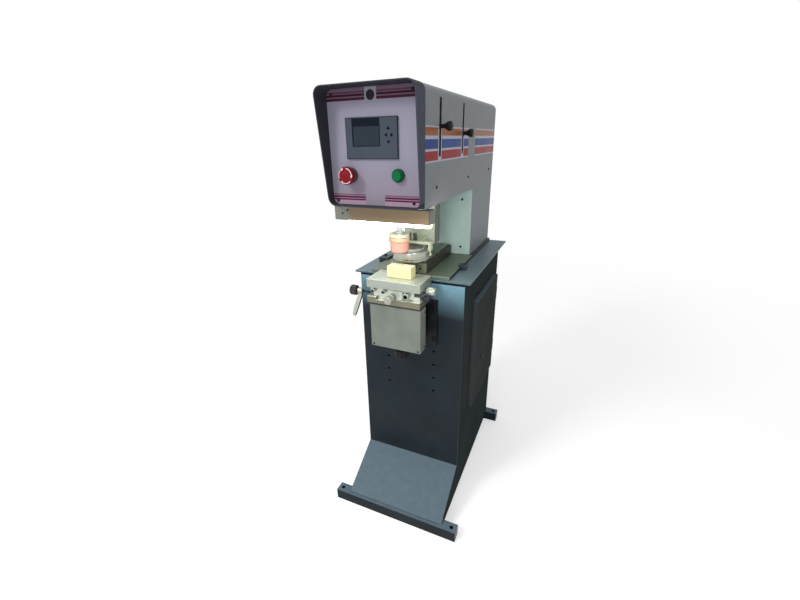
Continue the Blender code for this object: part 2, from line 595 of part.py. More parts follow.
lock_knob_origin = (LOCK_KNOB_LEFT, LOCK_SHAFT_Y, LOCK_SHAFT_Z)
solid("lock_knob", turned(LOCK_KNOB, lock_knob_origin, "X", 24), BLACK_PLASTIC, origin=lock_knob_origin)
lever_origin = (LEVER_X, LOCK_SHAFT_Y, LOCK_SHAFT_Z)
lock_lever = solid("lock_lever", turned(LEVER_HUB, lever_origin, "X", 20, ring=True),
                   BRIGHT_ALUMINIUM, origin=lever_origin)
fuse(lock_lever, prism(LEVER_ARM, "Y", LOCK_SHAFT_Y - LEVER_HALF_THICK, LOCK_SHAFT_Y + LEVER_HALF_THICK))
cut(lock_lever, rods(((LEVER_X - 3 * PAST, LOCK_SHAFT_Y, LOCK_SHAFT_Z), "X", 6 * PAST, LOCK_SHAFT_BORE),
                     segments=20))

# Small black locking knob on the right
SIDE_LOCK_X = 0.0725
SIDE_KNOB = [(0.0, -0.018), (LOCK_SHAFT_RADIUS, -0.018), (LOCK_SHAFT_RADIUS, 0.0), (0.0075, 0.0),
             (0.0085, 0.002), (0.0085, 0.014), (0.0070, 0.0165), (0.0, 0.0165)]

side_lock_origin = (SIDE_LOCK_X, SIDE_LOCK_Y, SIDE_LOCK_Z)
solid("side_lock_knob", turned(SIDE_KNOB, side_lock_origin, "X", 20), BLACK_PLASTIC, origin=side_lock_origin)

# Fixture: a cream resin nest with a shallow pocket for the article to be printed
FIXTURE_X = -0.0031
FIXTURE_HALF = 0.0370
FIXTURE_FRONT = -0.2225
FIXTURE_BACK = -0.1880
FIXTURE_TOP = 0.8480
POCKET_HALF = 0.013
POCKET_YS = (-0.212, -0.198)
POCKET_DEPTH = 0.005
POCKET_RADIUS = 0.004

fixture = solid("fixture_block", boxes(((FIXTURE_X - FIXTURE_HALF, FIXTURE_FRONT, WORK_TOP + GAP),
                                        (FIXTURE_X + FIXTURE_HALF, FIXTURE_BACK, FIXTURE_TOP))), RESIN_CREAM)
soften(fixture, 0.0025, 2)
cut(fixture, prism(rounded_outline(PRINT_X, POCKET_HALF, *POCKET_YS, POCKET_RADIUS, POCKET_RADIUS, 3), "Z",
                   FIXTURE_TOP - POCKET_DEPTH, FIXTURE_TOP + PAST))

# Bed plate on the table
BED_X = PRINT_X + 0.002
BED_HALF = 0.1235
BED_FRONT = -0.150
BED_BACK = 0.371

bed_plate = solid("bed_plate", boxes(((BED_X - BED_HALF, BED_FRONT, TABLE_TOP + GAP),
                                      (BED_X + BED_HALF, BED_BACK, BED_TOP))), DARK_STEEL)
soften(bed_plate, 0.001)

# Clamps: a block beside the bed plate on each side, with a lip that reaches over its edge
CLAMP_TOP = 0.8155
CLAMP_LIP = 0.006
CLAMP_GAP = 0.0005
CLAMPS = (("left_clamp", -1, 0.0255, -0.0500, -0.0060), ("right_clamp", 1, 0.0160, -0.0430, -0.0180))

for clamp_name, side, width, front, back in CLAMPS:
    edge = BED_X + side * BED_HALF
    block_xs = sorted((edge + side * CLAMP_GAP, edge + side * (CLAMP_GAP + width)))
    lip_xs = sorted((edge - side * CLAMP_LIP, edge + side * (CLAMP_GAP + SINK)))
    clamp = solid(clamp_name, boxes(((block_xs[0], front, TABLE_TOP + GAP), (block_xs[1], back, CLAMP_TOP))),
                  DARK_STEEL)
    fuse(clamp, boxes(((lip_xs[0], front, BED_TOP + GAP), (lip_xs[1], back, CLAMP_TOP))))

# Plate holder: a long steel tray on the bed, with the printing plate in it
HOLDER_HALF = 0.0555
HOLDER_FRONT = -0.148
HOLDER_BACK = 0.088
HOLDER_TOP = 0.842
TRAY_HALF = 0.0503
TRAY_FRONT = -0.143
TRAY_DEPTH = 0.0068
PLATE_BACK = 0.084
PLATE_TOP = 0.8455

plate_holder = solid("plate_holder", boxes(((PRINT_X - HOLDER_HALF, HOLDER_FRONT, BED_TOP + GAP),
                                            (PRINT_X + HOLDER_HALF, HOLDER_BACK, HOLDER_TOP))), DARK_STEEL)
cut(plate_holder, boxes(((PRINT_X - TRAY_HALF, TRAY_FRONT, HOLDER_TOP - TRAY_DEPTH),
                         (PRINT_X + TRAY_HALF, HOLDER_BACK + PAST, HOLDER_TOP + PAST))))
solid("printing_plate", boxes(((PRINT_X - TRAY_HALF + GAP, TRAY_FRONT + GAP, HOLDER_TOP - TRAY_DEPTH + GAP),
                               (PRINT_X + TRAY_HALF - GAP, PLATE_BACK, PLATE_TOP))), BRIGHT_STEEL)

# Closed ink cup: a bright body over a hard ring that wipes the printing plate
RING_TOP = 0.8495
RING = [(0.0425, PLATE_TOP + GAP), (0.0460, PLATE_TOP + GAP), (0.0470, 0.8475), (0.0470, RING_TOP),
        (0.0425, RING_TOP)]
CUP = [(0.0, 0.8690), (0.0400, 0.8690), (0.0420, 0.8670), (0.0420, RING_TOP + GAP), (0.0535, RING_TOP + GAP),
       (0.0540, 0.8505), (0.0540, 0.8535), (0.0500, 0.8545), (0.0495, 0.8730), (0.0480, 0.8745),
       (0.0400, 0.8745), (0.0390, 0.8760), (0.0390, 0.8830), (0.0380, 0.8840), (0.0340, 0.8840),
       (0.0330, 0.8825), (0.0, 0.8825)]

cup_base = (PRINT_X, CUP_Y, 0.0)
solid("cup_ring", turned(RING, cup_base, "Z", 36, ring=True), BRIGHT_STEEL)
solid("ink_cup", turned(CUP, cup_base, "Z", 36), BRIGHT_STEEL)

# Bridge: an inverted U that drives the cup from both sides with ball-ended pins
BRIDGE_HALF = 0.0620
BRIDGE_HALF_DEPTH = 0.010
BRIDGE_LOW = 0.8945
BRIDGE_TOP = 0.9025
LEG_THICK = 0.0065
LEG_LOW = 0.8760
PIN_Z = 0.8640
BALL_PIN_RADIUS = 0.002
BALL_RADIUS = 0.004
TAIL_HALF = 0.025
ARM_FRONT = -0.056

bridge = solid("cup_bridge", boxes(((PRINT_X - BRIDGE_HALF, CUP_Y - BRIDGE_HALF_DEPTH, BRIDGE_LOW),
                                    (PRINT_X + BRIDGE_HALF, CUP_Y + BRIDGE_HALF_DEPTH, BRIDGE_TOP))),
               BRIGHT_ALUMINIUM)
legs = []
pins = []
balls = bmesh.new()
for side in SIDES:
    leg_xs = sorted((PRINT_X + side * BRIDGE_HALF, PRINT_X + side * (BRIDGE_HALF - LEG_THICK)))
    legs.append(((leg_xs[0], CUP_Y - BRIDGE_HALF_DEPTH, LEG_LOW),
                 (leg_xs[1], CUP_Y + BRIDGE_HALF_DEPTH, BRIDGE_LOW + SINK)))
    pin_foot = (PRINT_X + side * (BRIDGE_HALF - LEG_THICK / 2), CUP_Y, PIN_Z)
    pins.append((pin_foot, "Z", LEG_LOW - PIN_Z + SINK, BALL_PIN_RADIUS))
    bmesh.ops.create_uvsphere(balls, u_segments=12, v_segments=8, radius=BALL_RADIUS,
                              matrix=Matrix.Translation(pin_foot))
fuse(bridge, boxes(*legs), rods(*pins, segments=12),
     boxes(((PRINT_X - TAIL_HALF, CUP_Y + BRIDGE_HALF_DEPTH - SINK, BRIDGE_LOW + SINK),
            (PRINT_X + TAIL_HALF, ARM_FRONT - GAP, BRIDGE_TOP - SINK))),
     balls)

# Two screws stand on the bridge
BRIDGE_SCREW_XS = (("bridge_screw_left", -0.011), ("bridge_screw_right", 0.007))
BRIDGE_SCREW_HEIGHT = 0.020
BRIDGE_SCREW_RADIUS = 0.006

for screw_name, x in BRIDGE_SCREW_XS:
    solid(screw_name, rods(((x, CUP_Y, BRIDGE_TOP + GAP), "Z", BRIDGE_SCREW_HEIGHT, BRIDGE_SCREW_RADIUS),
                           segments=16), BRIGHT_STEEL)

# Carriage arm: the block that hangs from the carriage and pushes the bridge
ARM_HALF = 0.047
ARM_BACK = -0.010
ARM_LOW = 0.878
CARRIAGE_LOW = 1.060
CARRIAGE_HIGH = 1.110

arm = solid("carriage_arm", boxes(((PRINT_X - ARM_HALF, ARM_FRONT, ARM_LOW),
                                   (PRINT_X + ARM_HALF, ARM_BACK, CARRIAGE_LOW - GAP))), BRIGHT_ALUMINIUM)
soften(arm, 0.001)

# Carriage: it runs on two round rails and carries its own piston rod
CARRIAGE_HALF = 0.058
CARRIAGE_FRONT = -0.236
CARRIAGE_BACK = -0.008
GUIDE_X = 0.045
GUIDE_RADIUS = 0.006
PAD_ROD_BORE = 0.0075
PISTON_Y = 0.1365
PISTON_LENGTH = 0.010
PISTON_RADIUS = 0.0136

carriage = solid("carriage", boxes(((PRINT_X - CARRIAGE_HALF, CARRIAGE_FRONT, CARRIAGE_LOW),
                                    (PRINT_X + CARRIAGE_HALF, CARRIAGE_BACK, CARRIAGE_HIGH))),
                 BRIGHT_ALUMINIUM)
guide_bore = CARRIAGE_BACK - CARRIAGE_FRONT + 2 * PAST
pad_bore = CARRIAGE_HIGH - CARRIAGE_LOW + 2 * PAST
cut(carriage,
    rods(*[((PRINT_X + side * GUIDE_X, CARRIAGE_FRONT - PAST, RAIL_Z), "Y", guide_bore,
            GUIDE_RADIUS + RUNNING) for side in SIDES], segments=20),
    rods(((PRINT_X, PAD_Y, CARRIAGE_LOW - PAST), "Z", pad_bore, PAD_ROD_BORE)))
fuse(carriage,
     rods(((PRINT_X, CARRIAGE_BACK - SINK, RAIL_Z), "Y", PISTON_Y - CARRIAGE_BACK + 2 * SINK,
           GUIDE_RADIUS)),
     rods(((PRINT_X, PISTON_Y, RAIL_Z), "Y", PISTON_LENGTH, PISTON_RADIUS)))

# Main frame: two welded gooseneck plates joined by cross plates in the head
FRAME_OUT = 0.078
FRAME_THICK = 0.008
FRAME_FRONT = -0.262
FRAME_BACK = 0.330
FRAME_TOP = 1.255
FRAME_LOW = 1.050
REAR_CROSS = 0.115
REAR_CROSS_THICK = 0.010
SOLE_YS = (0.160, 0.320)
SOLE_TOP = BED_TOP + 0.010
CROSS_INSET = 0.0005
ROD_HOLE = GUIDE_RADIUS + 0.0006
GOOSENECK = [(FRAME_FRONT, FRAME_LOW), (REAR_CROSS, FRAME_LOW), (REAR_CROSS, BED_TOP + GAP),
             (FRAME_BACK, BED_TOP + GAP), (FRAME_BACK, FRAME_TOP), (FRAME_FRONT, FRAME_TOP)]

main_frame = solid("main_frame",
                   prism(GOOSENECK, "X", PRINT_X - FRAME_OUT, PRINT_X - FRAME_OUT + FRAME_THICK),
                   DARK_STEEL)
cross_half = FRAME_OUT - FRAME_THICK + SINK
cross_low = FRAME_LOW + CROSS_INSET
cross_high = FRAME_TOP - CROSS_INSET
fuse(main_frame,
     boxes(((PRINT_X - cross_half, FRAME_FRONT + CROSS_INSET, cross_low),
            (PRINT_X + cross_half, FRAME_FRONT + FRAME_THICK, cross_high)),
           ((PRINT_X - cross_half, REAR_CROSS + CROSS_INSET, cross_low),
            (PRINT_X + cross_half, REAR_CROSS + REAR_CROSS_THICK, cross_high)),
           ((PRINT_X - cross_half, SOLE_YS[0], BED_TOP + GAP + CROSS_INSET),
            (PRINT_X + cross_half, SOLE_YS[1], SOLE_TOP))),
     prism(GOOSENECK, "X", PRINT_X + FRAME_OUT - FRAME_THICK, PRINT_X + FRAME_OUT))
cut(main_frame, rods(((PRINT_X, REAR_CROSS - PAST, RAIL_Z), "Y", REAR_CROSS_THICK + 2 * PAST, ROD_HOLE)))

rod_front = FRAME_FRONT + FRAME_THICK + GAP
rod_length = REAR_CROSS + CROSS_INSET - GAP - rod_front
for side, rod_name in zip(SIDES, ("left_guide_rod", "right_guide_rod")):
    solid(rod_name, rods(((PRINT_X + side * GUIDE_X, rod_front, RAIL_Z), "Y", rod_length, GUIDE_RADIUS),
                         segments=20), BRIGHT_STEEL)

# Travel cylinder behind the rear cross plate
CYLINDER_FRONT = REAR_CROSS + REAR_CROSS_THICK + GAP
CYLINDER_RADIUS = 0.020
CYLINDER_BORE = 0.0142
TRAVEL_CYLINDER_LENGTH = 0.165
TRAVEL_CYLINDER_CAP = 0.007


def cylinder_profile(rod_hole, length, cap):
    """Outline of a cylinder's tube, closed at its far end, with a hole for the rod in its near end."""
    return [(rod_hole, 0.0), (CYLINDER_RADIUS, 0.0), (CYLINDER_RADIUS, length), (0.0, length),
            (0.0, length - cap), (CYLINDER_BORE, length - cap), (CYLINDER_BORE, cap), (rod_hole, cap)]


solid("travel_cylinder",
      turned(cylinder_profile(ROD_HOLE, TRAVEL_CYLINDER_LENGTH, TRAVEL_CYLINDER_CAP),
             (PRINT_X, CYLINDER_FRONT, RAIL_Z), "Y", 24, ring=True),
      BRIGHT_ALUMINIUM)

# Pad cylinder on the carriage, its rod, and the pad below the head
PAD_GLAND = 0.0076
PAD_CYLINDER_LENGTH = 0.125
PAD_CYLINDER_CAP = 0.006
PAD_HOLDER_LOW = 0.9178
PAD_HOLDER_HIGH = 0.9385
PAD_ROD = [(0.0, 0.0), (0.0110, 0.0), (0.0110, 0.006), (0.0070, 0.007), (0.0070, 0.2420),
           (PISTON_RADIUS, 0.2420), (PISTON_RADIUS, 0.2560), (0.0, 0.2560)]
PAD_HOLDER = [(0.0, PAD_HOLDER_LOW), (0.0270, PAD_HOLDER_LOW), (0.0282, 0.9190), (0.0282, 0.9285),
              (0.0272, 0.9300), (0.0268, 0.9370), (0.0255, PAD_HOLDER_HIGH), (0.0, PAD_HOLDER_HIGH)]
PAD_TIP = 0.8845
PAD_SIDE_LOW = 0.8925
PAD_RADIUS = 0.0252
PAD_TOP_RADIUS = 0.0257
PAD_TOP = PAD_HOLDER_LOW - GAP
DOME_STEPS = 6

solid("pad_cylinder",
      turned(cylinder_profile(PAD_GLAND, PAD_CYLINDER_LENGTH, PAD_CYLINDER_CAP),
             (PRINT_X, PAD_Y, CARRIAGE_HIGH + GAP), "Z", 24, ring=True),
      BRIGHT_ALUMINIUM)
rod_origin = (PRINT_X, PAD_Y, PAD_HOLDER_HIGH + GAP)
solid("pad_rod", turned(PAD_ROD, rod_origin, "Z", 24), BRIGHT_STEEL, origin=rod_origin)
solid("pad_holder", turned(PAD_HOLDER, (PRINT_X, PAD_Y, 0.0), "Z", 32), RESIN_CREAM,
      origin=(PRINT_X, PAD_Y, PAD_HOLDER_LOW))
dome = [(PAD_RADIUS * math.sin(angle), PAD_SIDE_LOW - (PAD_SIDE_LOW - PAD_TIP) * math.cos(angle))
        for angle in [math.radians(90 * step / DOME_STEPS) for step in range(DOME_STEPS + 1)]]
solid("pad", turned(dome + [(PAD_TOP_RADIUS, PAD_TOP), (0.0, PAD_TOP)], (PRINT_X, PAD_Y, 0.0), "Z", 32),
      PAD_PINK, origin=(PRINT_X, PAD_Y, PAD_TIP))

# Casing: roof and both gooseneck sides folded from one sheet, with two adjusting slots
ROOF_RADIUS = 0.020
CASING_LOW = BED_TOP + GAP
INNER_RADIUS = ROOF_RADIUS - CASING_SHEET
WIDER = 0.1
STOP_YS = (-0.2290, -0.0405)
STOP_ZS = (1.1982, 1.1847)
SLOT_LOWS = (1.134, 1.139)
SLOT_HIGHS = (1.256, 1.257)
SLOT_HALF = 0.004
WALL_X = HEAD_X + HEAD_HALF_WIDTH

casing_outer = rounded_outline(HEAD_X, HEAD_HALF_WIDTH, CASING_LOW, HEAD_TOP, 0, ROOF_RADIUS)
casing_inner = rounded_outline(HEAD_X, HEAD_HALF_WIDTH - CASING_SHEET, CASING_LOW - PAST,
                               HEAD_TOP - CASING_SHEET, 0, INNER_RADIUS)
casing = solid("casing", prism(casing_outer, "Y", HEAD_FRONT, HEAD_BACK), HEAD_GREY)
cut(casing,
    prism(casing_inner, "Y", HEAD_FRONT - PAST, HEAD_BACK + PAST),
    boxes(((HEAD_X - HEAD_HALF_WIDTH - WIDER, HEAD_FRONT - PAST, CASING_LOW - 2 * PAST),
           (HEAD_X + HEAD_HALF_WIDTH + WIDER, COLUMN_FRONT, HEAD_BOTTOM))),
    boxes(*[((WALL_X - PAST, stop_y - SLOT_HALF, low), (WALL_X + PAST, stop_y + SLOT_HALF, high))
            for stop_y, low, high in zip(STOP_YS, SLOT_LOWS, SLOT_HIGHS)]))

# Casing underside and column front: one bent sheet with an opening for the moving parts
INSIDE_HALF = HEAD_HALF_WIDTH - CASING_SHEET - GAP
UNDER_FRONT = HEAD_FRONT + 0.0005
UNDER_TOP = HEAD_BOTTOM + CASING_SHEET
UNDER_LINE = [(UNDER_FRONT, HEAD_BOTTOM), (COLUMN_FRONT, HEAD_BOTTOM), (COLUMN_FRONT, CASING_LOW),
              (COLUMN_FRONT + CASING_SHEET, CASING_LOW), (COLUMN_FRONT + CASING_SHEET, UNDER_TOP),
              (UNDER_FRONT, UNDER_TOP)]
WAY_HALF = 0.0515
WAY_YS = (-0.240, 0.084)

underside = solid("casing_underside", prism(UNDER_LINE, "X", HEAD_X - INSIDE_HALF, HEAD_X + INSIDE_HALF),
                  HEAD_GREY)
cut(underside, boxes(((PRINT_X - WAY_HALF, WAY_YS[0], HEAD_BOTTOM - PAST),
                      (PRINT_X + WAY_HALF, WAY_YS[1], UNDER_TOP + PAST))))

# Casing rear panel with ventilation slots
HEAD_REAR_BACK = HEAD_BACK - 0.002
HEAD_REAR_FRONT = HEAD_REAR_BACK - CASING_SHEET
HEAD_SLOT_HALF = 0.045
HEAD_SLOT_LOWEST = 1.140
HEAD_SLOT_PITCH = 0.016
HEAD_SLOT_HEIGHT = 0.005

rear_outline = rounded_outline(HEAD_X, INSIDE_HALF, CASING_LOW, HEAD_TOP - CASING_SHEET - GAP, 0,
                               INNER_RADIUS)
casing_rear = solid("casing_rear", prism(rear_outline, "Y", HEAD_REAR_FRONT, HEAD_REAR_BACK), HEAD_GREY)
cut(casing_rear, boxes(*louvres(HEAD_X, HEAD_SLOT_HALF, HEAD_REAR_FRONT, HEAD_SLOT_LOWEST, HEAD_SLOT_PITCH,
                                HEAD_SLOT_HEIGHT)))

# Visor: a dark frame round the control panel, deeper at the top than at the bottom. A flat
# flange at its back has square lower corners and takes the panel's screws.
VISOR_LOW = 1.0262
VISOR_HIGH = 1.2805
VISOR_HALF = HEAD_HALF_WIDTH + 0.0005
VISOR_WALL = 0.003
VISOR_RADIUS = 0.020
VISOR_INNER_RADIUS = VISOR_RADIUS - VISOR_WALL
VISOR_BACK = HEAD_FRONT - GAP
VISOR_TOP_FRONT = -0.381
VISOR_LOW_FRONT = -0.352
VISOR_FRONT_SLOPE = (VISOR_TOP_FRONT - VISOR_LOW_FRONT) / (VISOR_HIGH - VISOR_LOW)
BEYOND = 0.020
PANEL_FRONT = -0.333
PANEL_BACK = -0.330
VISOR_FLANGE = 0.015
VISOR_FLANGE_RADIUS = 0.010
VISOR_FLANGE_CORNER = 0.003
SKIN_INSET = 0.0001


def visor_outline(inset, low_radius, top_radius):
    """Rounded outline that lies inset inside the visor's outer faces."""
    return rounded_outline(HEAD_X, VISOR_HALF - inset, VISOR_LOW + inset, VISOR_HIGH - inset, low_radius,
                           top_radius, 6)


slope_reach = BEYOND * VISOR_FRONT_SLOPE
below_visor = VISOR_LOW - BEYOND
above_visor = VISOR_HIGH + BEYOND
before_visor = [(VISOR_TOP_FRONT - BEYOND, below_visor), (VISOR_LOW_FRONT - slope_reach, below_visor),
                (VISOR_TOP_FRONT + slope_reach, above_visor), (VISOR_TOP_FRONT - BEYOND, above_visor)]
visor = solid("visor", prism(visor_outline(0.0, VISOR_RADIUS, VISOR_RADIUS), "Y", VISOR_TOP_FRONT - PAST,
                             VISOR_BACK), VISOR_GREY)
cut(visor,
    prism(visor_outline(VISOR_WALL, VISOR_INNER_RADIUS, VISOR_INNER_RADIUS), "Y", VISOR_TOP_FRONT - BEYOND,
          VISOR_BACK + PAST),
    prism(before_visor, "X", HEAD_X - VISOR_HALF - BEYOND, HEAD_X + VISOR_HALF + BEYOND))
flange = solid("visor_flange", prism(visor_outline(SKIN_INSET, VISOR_FLANGE_CORNER, VISOR_RADIUS), "Y",
                                     PANEL_BACK + GAP, VISOR_BACK - SKIN_INSET), None)
cut(flange, prism(visor_outline(VISOR_FLANGE, VISOR_FLANGE_RADIUS, VISOR_FLANGE_RADIUS), "Y",
                  PANEL_BACK - PAST, VISOR_BACK + PAST))
helper(flange)
joined = visor.modifiers.new("flange", "BOOLEAN")
joined.operation = "UNION"
joined.solver = "EXACT"
joined.object = flange

# Control panel with its window and two button holes
PANEL_INSET = VISOR_WALL + 0.0005
PANEL_RADIUS = VISOR_INNER_RADIUS - 0.0005
HMI_X = -0.0099
HMI_Z = 1.1752
WINDOW_HALF_X = 0.0585
WINDOW_HALF_Z = 0.0375
STOP_X = -0.0678
STOP_Z = 1.0973
START_X = 0.0529
START_Z = 1.0978
BUTTON_HOLE = 0.0112

panel = solid("control_panel", prism(visor_outline(PANEL_INSET, PANEL_RADIUS, PANEL_RADIUS), "Y",
                                     PANEL_FRONT, PANEL_BACK), PANEL_GREY)
cut(panel,
    boxes(((HMI_X - WINDOW_HALF_X, PANEL_FRONT - PAST, HMI_Z - WINDOW_HALF_Z),
           (HMI_X + WINDOW_HALF_X, PANEL_BACK + PAST, HMI_Z + WINDOW_HALF_Z))),
    rods(*[((x, PANEL_FRONT - PAST, z), "Y", PANEL_BACK - PANEL_FRONT + 2 * PAST, BUTTON_HOLE)
           for x, z in ((STOP_X, STOP_Z), (START_X, START_Z))], segments=24))

# Text display: housing with a rear box, and a dark window
HMI_HALF_X = 0.0641
HMI_HALF_Z = 0.043
HMI_BACK = PANEL_FRONT - GAP
HMI_FRONT = HMI_BACK - 0.0042
REAR_BOX_BACK = -0.292
BOX_CLEARANCE = 0.0005
SCREEN_XS = (-0.0575, 0.0115)
SCREEN_ZS = (1.1583, 1.2160)
SCREEN_RECESS = 0.0014
SCREEN_SUNK = 0.0002

hmi = solid("hmi_housing", boxes(((HMI_X - HMI_HALF_X, HMI_FRONT, HMI_Z - HMI_HALF_Z),
                                  (HMI_X + HMI_HALF_X, HMI_BACK, HMI_Z + HMI_HALF_Z))), HMI_GREY)
box_half_x = WINDOW_HALF_X - BOX_CLEARANCE
box_half_z = WINDOW_HALF_Z - BOX_CLEARANCE
fuse(hmi, boxes(((HMI_X - box_half_x, HMI_BACK - SINK, HMI_Z - box_half_z),
                 (HMI_X + box_half_x, REAR_BOX_BACK, HMI_Z + box_half_z))))
cut(hmi, boxes(((SCREEN_XS[0], HMI_FRONT - PAST, SCREEN_ZS[0]),
                (SCREEN_XS[1], HMI_FRONT + SCREEN_RECESS, SCREEN_ZS[1]))))
solid("hmi_screen", boxes(((SCREEN_XS[0] + GAP, HMI_FRONT + SCREEN_SUNK, SCREEN_ZS[0] + GAP),
                           (SCREEN_XS[1] - GAP, HMI_FRONT + SCREEN_RECESS - GAP, SCREEN_ZS[1] - GAP))),
      DARK_GLASS)

# Emergency stop: a red mushroom that latches when pushed
STOP_BUTTON = [(0.0, -0.0302), (0.0110, -0.0298), (0.0185, -0.0280), (0.0200, -0.0252), (0.0200, -0.0195),
               (0.0185, -0.0175), (0.0125, -0.0165), (0.0125, -0.0085), (0.0090, -0.0080), (0.0090, 0.0120),
               (0.0, 0.0120)]

stop_base = (STOP_X, PANEL_FRONT, STOP_Z)
solid("estop_button", turned(STOP_BUTTON, stop_base, "Y", 28), STOP_RED, origin=stop_base)

# Start button: a flat green cap that springs back
START_BUTTON = [(0.0, -0.0125), (0.0100, -0.0125), (0.0108, -0.0115), (0.0108, 0.0060), (0.0, 0.0060)]

start_base = (START_X, PANEL_FRONT, START_Z)
solid("start_button", turned(START_BUTTON, start_base, "Y", 28), START_GREEN, origin=start_base)

# Lamp: a channel under the front of the head with a white diffuser below it
LAMP_LEFT = -0.132
LAMP_RIGHT = 0.1214
LAMP_FRONT = -0.318
LAMP_BACK = -0.284
LAMP_LOW = 0.9880
LAMP_HIGH = 1.0210
LAMP_WALL = 0.002
LAMP_END_WALL = 0.003
HANGER_XS = (-0.080, 0.070)
HANGER_HALF = 0.012
HANGER_INSET = 0.006
TUBE_XS = (-0.0980, 0.1170)
TUBE_TOP = 0.9970
TUBE_MIDDLE = 0.9865
TUBE_DROP = 0.0085
TUBE_STEPS = 6

lamp = solid("lamp_channel", boxes(((LAMP_LEFT, LAMP_FRONT, LAMP_LOW), (LAMP_RIGHT, LAMP_BACK, LAMP_HIGH))),
             BRIGHT_ALUMINIUM)
cut(lamp, boxes(((LAMP_LEFT + LAMP_END_WALL, LAMP_FRONT + LAMP_WALL, LAMP_LOW - PAST),
                 (LAMP_RIGHT - LAMP_END_WALL, LAMP_BACK - LAMP_WALL, LAMP_HIGH - LAMP_WALL))))
fuse(lamp, boxes(*[((x - HANGER_HALF, LAMP_FRONT + HANGER_INSET, LAMP_HIGH - SINK),
                    (x + HANGER_HALF, LAMP_BACK - HANGER_INSET, HEAD_BOTTOM - GAP)) for x in HANGER_XS]))
lamp_middle = (LAMP_FRONT + LAMP_BACK) / 2
tube_half = (LAMP_BACK - LAMP_FRONT) / 2 - LAMP_WALL - 0.0005
tube_outline = [(lamp_middle - tube_half, TUBE_TOP), (lamp_middle + tube_half, TUBE_TOP)]
tube_outline += [(lamp_middle + tube_half * math.cos(angle), TUBE_MIDDLE - TUBE_DROP * math.sin(angle))
                 for angle in [math.pi * step / TUBE_STEPS for step in range(TUBE_STEPS + 1)]]
solid("lamp_diffuser", prism(tube_outline, "X", *TUBE_XS), LAMP_WHITE)

# Stroke stops: a block behind each slot, clamped by a flared black knob outside
STUD_RADIUS = 0.0030
STOP_KNOB = [(0.0, -0.0215), (STUD_RADIUS, -0.0215), (STUD_RADIUS, 0.0), (0.0070, 0.0), (0.0070, 0.0015),
             (0.0045, 0.0022), (0.0045, 0.0085), (0.0085, 0.0150), (0.0103, 0.0200), (0.0098, 0.0250),
             (0.0075, 0.0275), (0.0, 0.0280)]
STOP_BLOCK_HALF = 0.011
STOP_BLOCK_LEFT = 0.0795
STOP_BLOCK_RIGHT = WALL_X - CASING_SHEET - 0.0006
STUD_BORE_START = 0.085

for stop_name, stop_y, stop_z in zip(("front_stop", "rear_stop"), STOP_YS, STOP_ZS):
    stop_origin = (WALL_X + RUNNING, stop_y, stop_z)
    block = solid(stop_name, boxes(((STOP_BLOCK_LEFT, stop_y - STOP_BLOCK_HALF, stop_z - STOP_BLOCK_HALF),
                                    (STOP_BLOCK_RIGHT, stop_y + STOP_BLOCK_HALF, stop_z + STOP_BLOCK_HALF))),
                  DARK_STEEL, origin=stop_origin)
    cut(block, rods(((STUD_BORE_START, stop_y, stop_z), "X", STOP_BLOCK_RIGHT - STUD_BORE_START + PAST,
                     STUD_RADIUS + RUNNING), segments=16))
    solid(f"{stop_name}_knob", turned(STOP_KNOB, stop_origin, "X", 20), BLACK_PLASTIC, origin=stop_origin)
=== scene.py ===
import json
import math

import bmesh
import bpy
from mathutils import Matrix, Vector

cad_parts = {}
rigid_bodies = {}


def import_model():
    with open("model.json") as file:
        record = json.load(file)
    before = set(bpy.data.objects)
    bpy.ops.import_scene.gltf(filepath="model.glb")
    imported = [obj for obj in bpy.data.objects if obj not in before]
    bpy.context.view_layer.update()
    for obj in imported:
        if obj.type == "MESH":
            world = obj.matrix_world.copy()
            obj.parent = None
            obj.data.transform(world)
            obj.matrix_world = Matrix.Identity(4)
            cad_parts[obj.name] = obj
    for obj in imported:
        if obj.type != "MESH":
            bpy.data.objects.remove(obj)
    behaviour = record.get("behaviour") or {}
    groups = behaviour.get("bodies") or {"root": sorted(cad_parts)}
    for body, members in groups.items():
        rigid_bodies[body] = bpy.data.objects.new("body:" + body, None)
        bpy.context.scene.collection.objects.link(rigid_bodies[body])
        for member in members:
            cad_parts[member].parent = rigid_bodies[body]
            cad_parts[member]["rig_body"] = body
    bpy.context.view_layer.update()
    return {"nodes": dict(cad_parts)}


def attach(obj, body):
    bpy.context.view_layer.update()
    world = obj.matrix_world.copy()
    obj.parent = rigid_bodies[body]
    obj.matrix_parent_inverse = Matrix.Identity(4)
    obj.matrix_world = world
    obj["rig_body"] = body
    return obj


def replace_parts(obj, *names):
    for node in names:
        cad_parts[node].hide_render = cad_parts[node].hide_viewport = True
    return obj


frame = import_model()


# Foot bars: two lengths of square steel tube with welded ends, sprayed with the cabinet's
# blue-grey enamel. Each stands on the floor and takes an anchor bolt near each end.
FOOT_EDGE = 0.0015
SMOOTH_BELOW = math.radians(32)
SHARP_ABOVE = math.radians(38)
FLAT_WITHIN = math.radians(1)
WELD = 1e-5
ENAMEL = (33, 40, 45)
ENAMEL_DUST_AND_SHEEN = (108, 128, 140)


def tint(colour, share=1.0, step=0):
    """A screen's colour, 0 to 255, times share and plus step, in the linear values of a shader."""
    return tuple((((part * share + step) / 255 + 0.055) / 1.055) ** 2.4 for part in colour) + (1.0,)


def maths(operation):
    """An operator that adds a Math node for the values on its two sides."""
    def operator(first, second=0.0):
        return first.graph.node("Math", {0: first, 1: second}, operation=operation)
    return operator


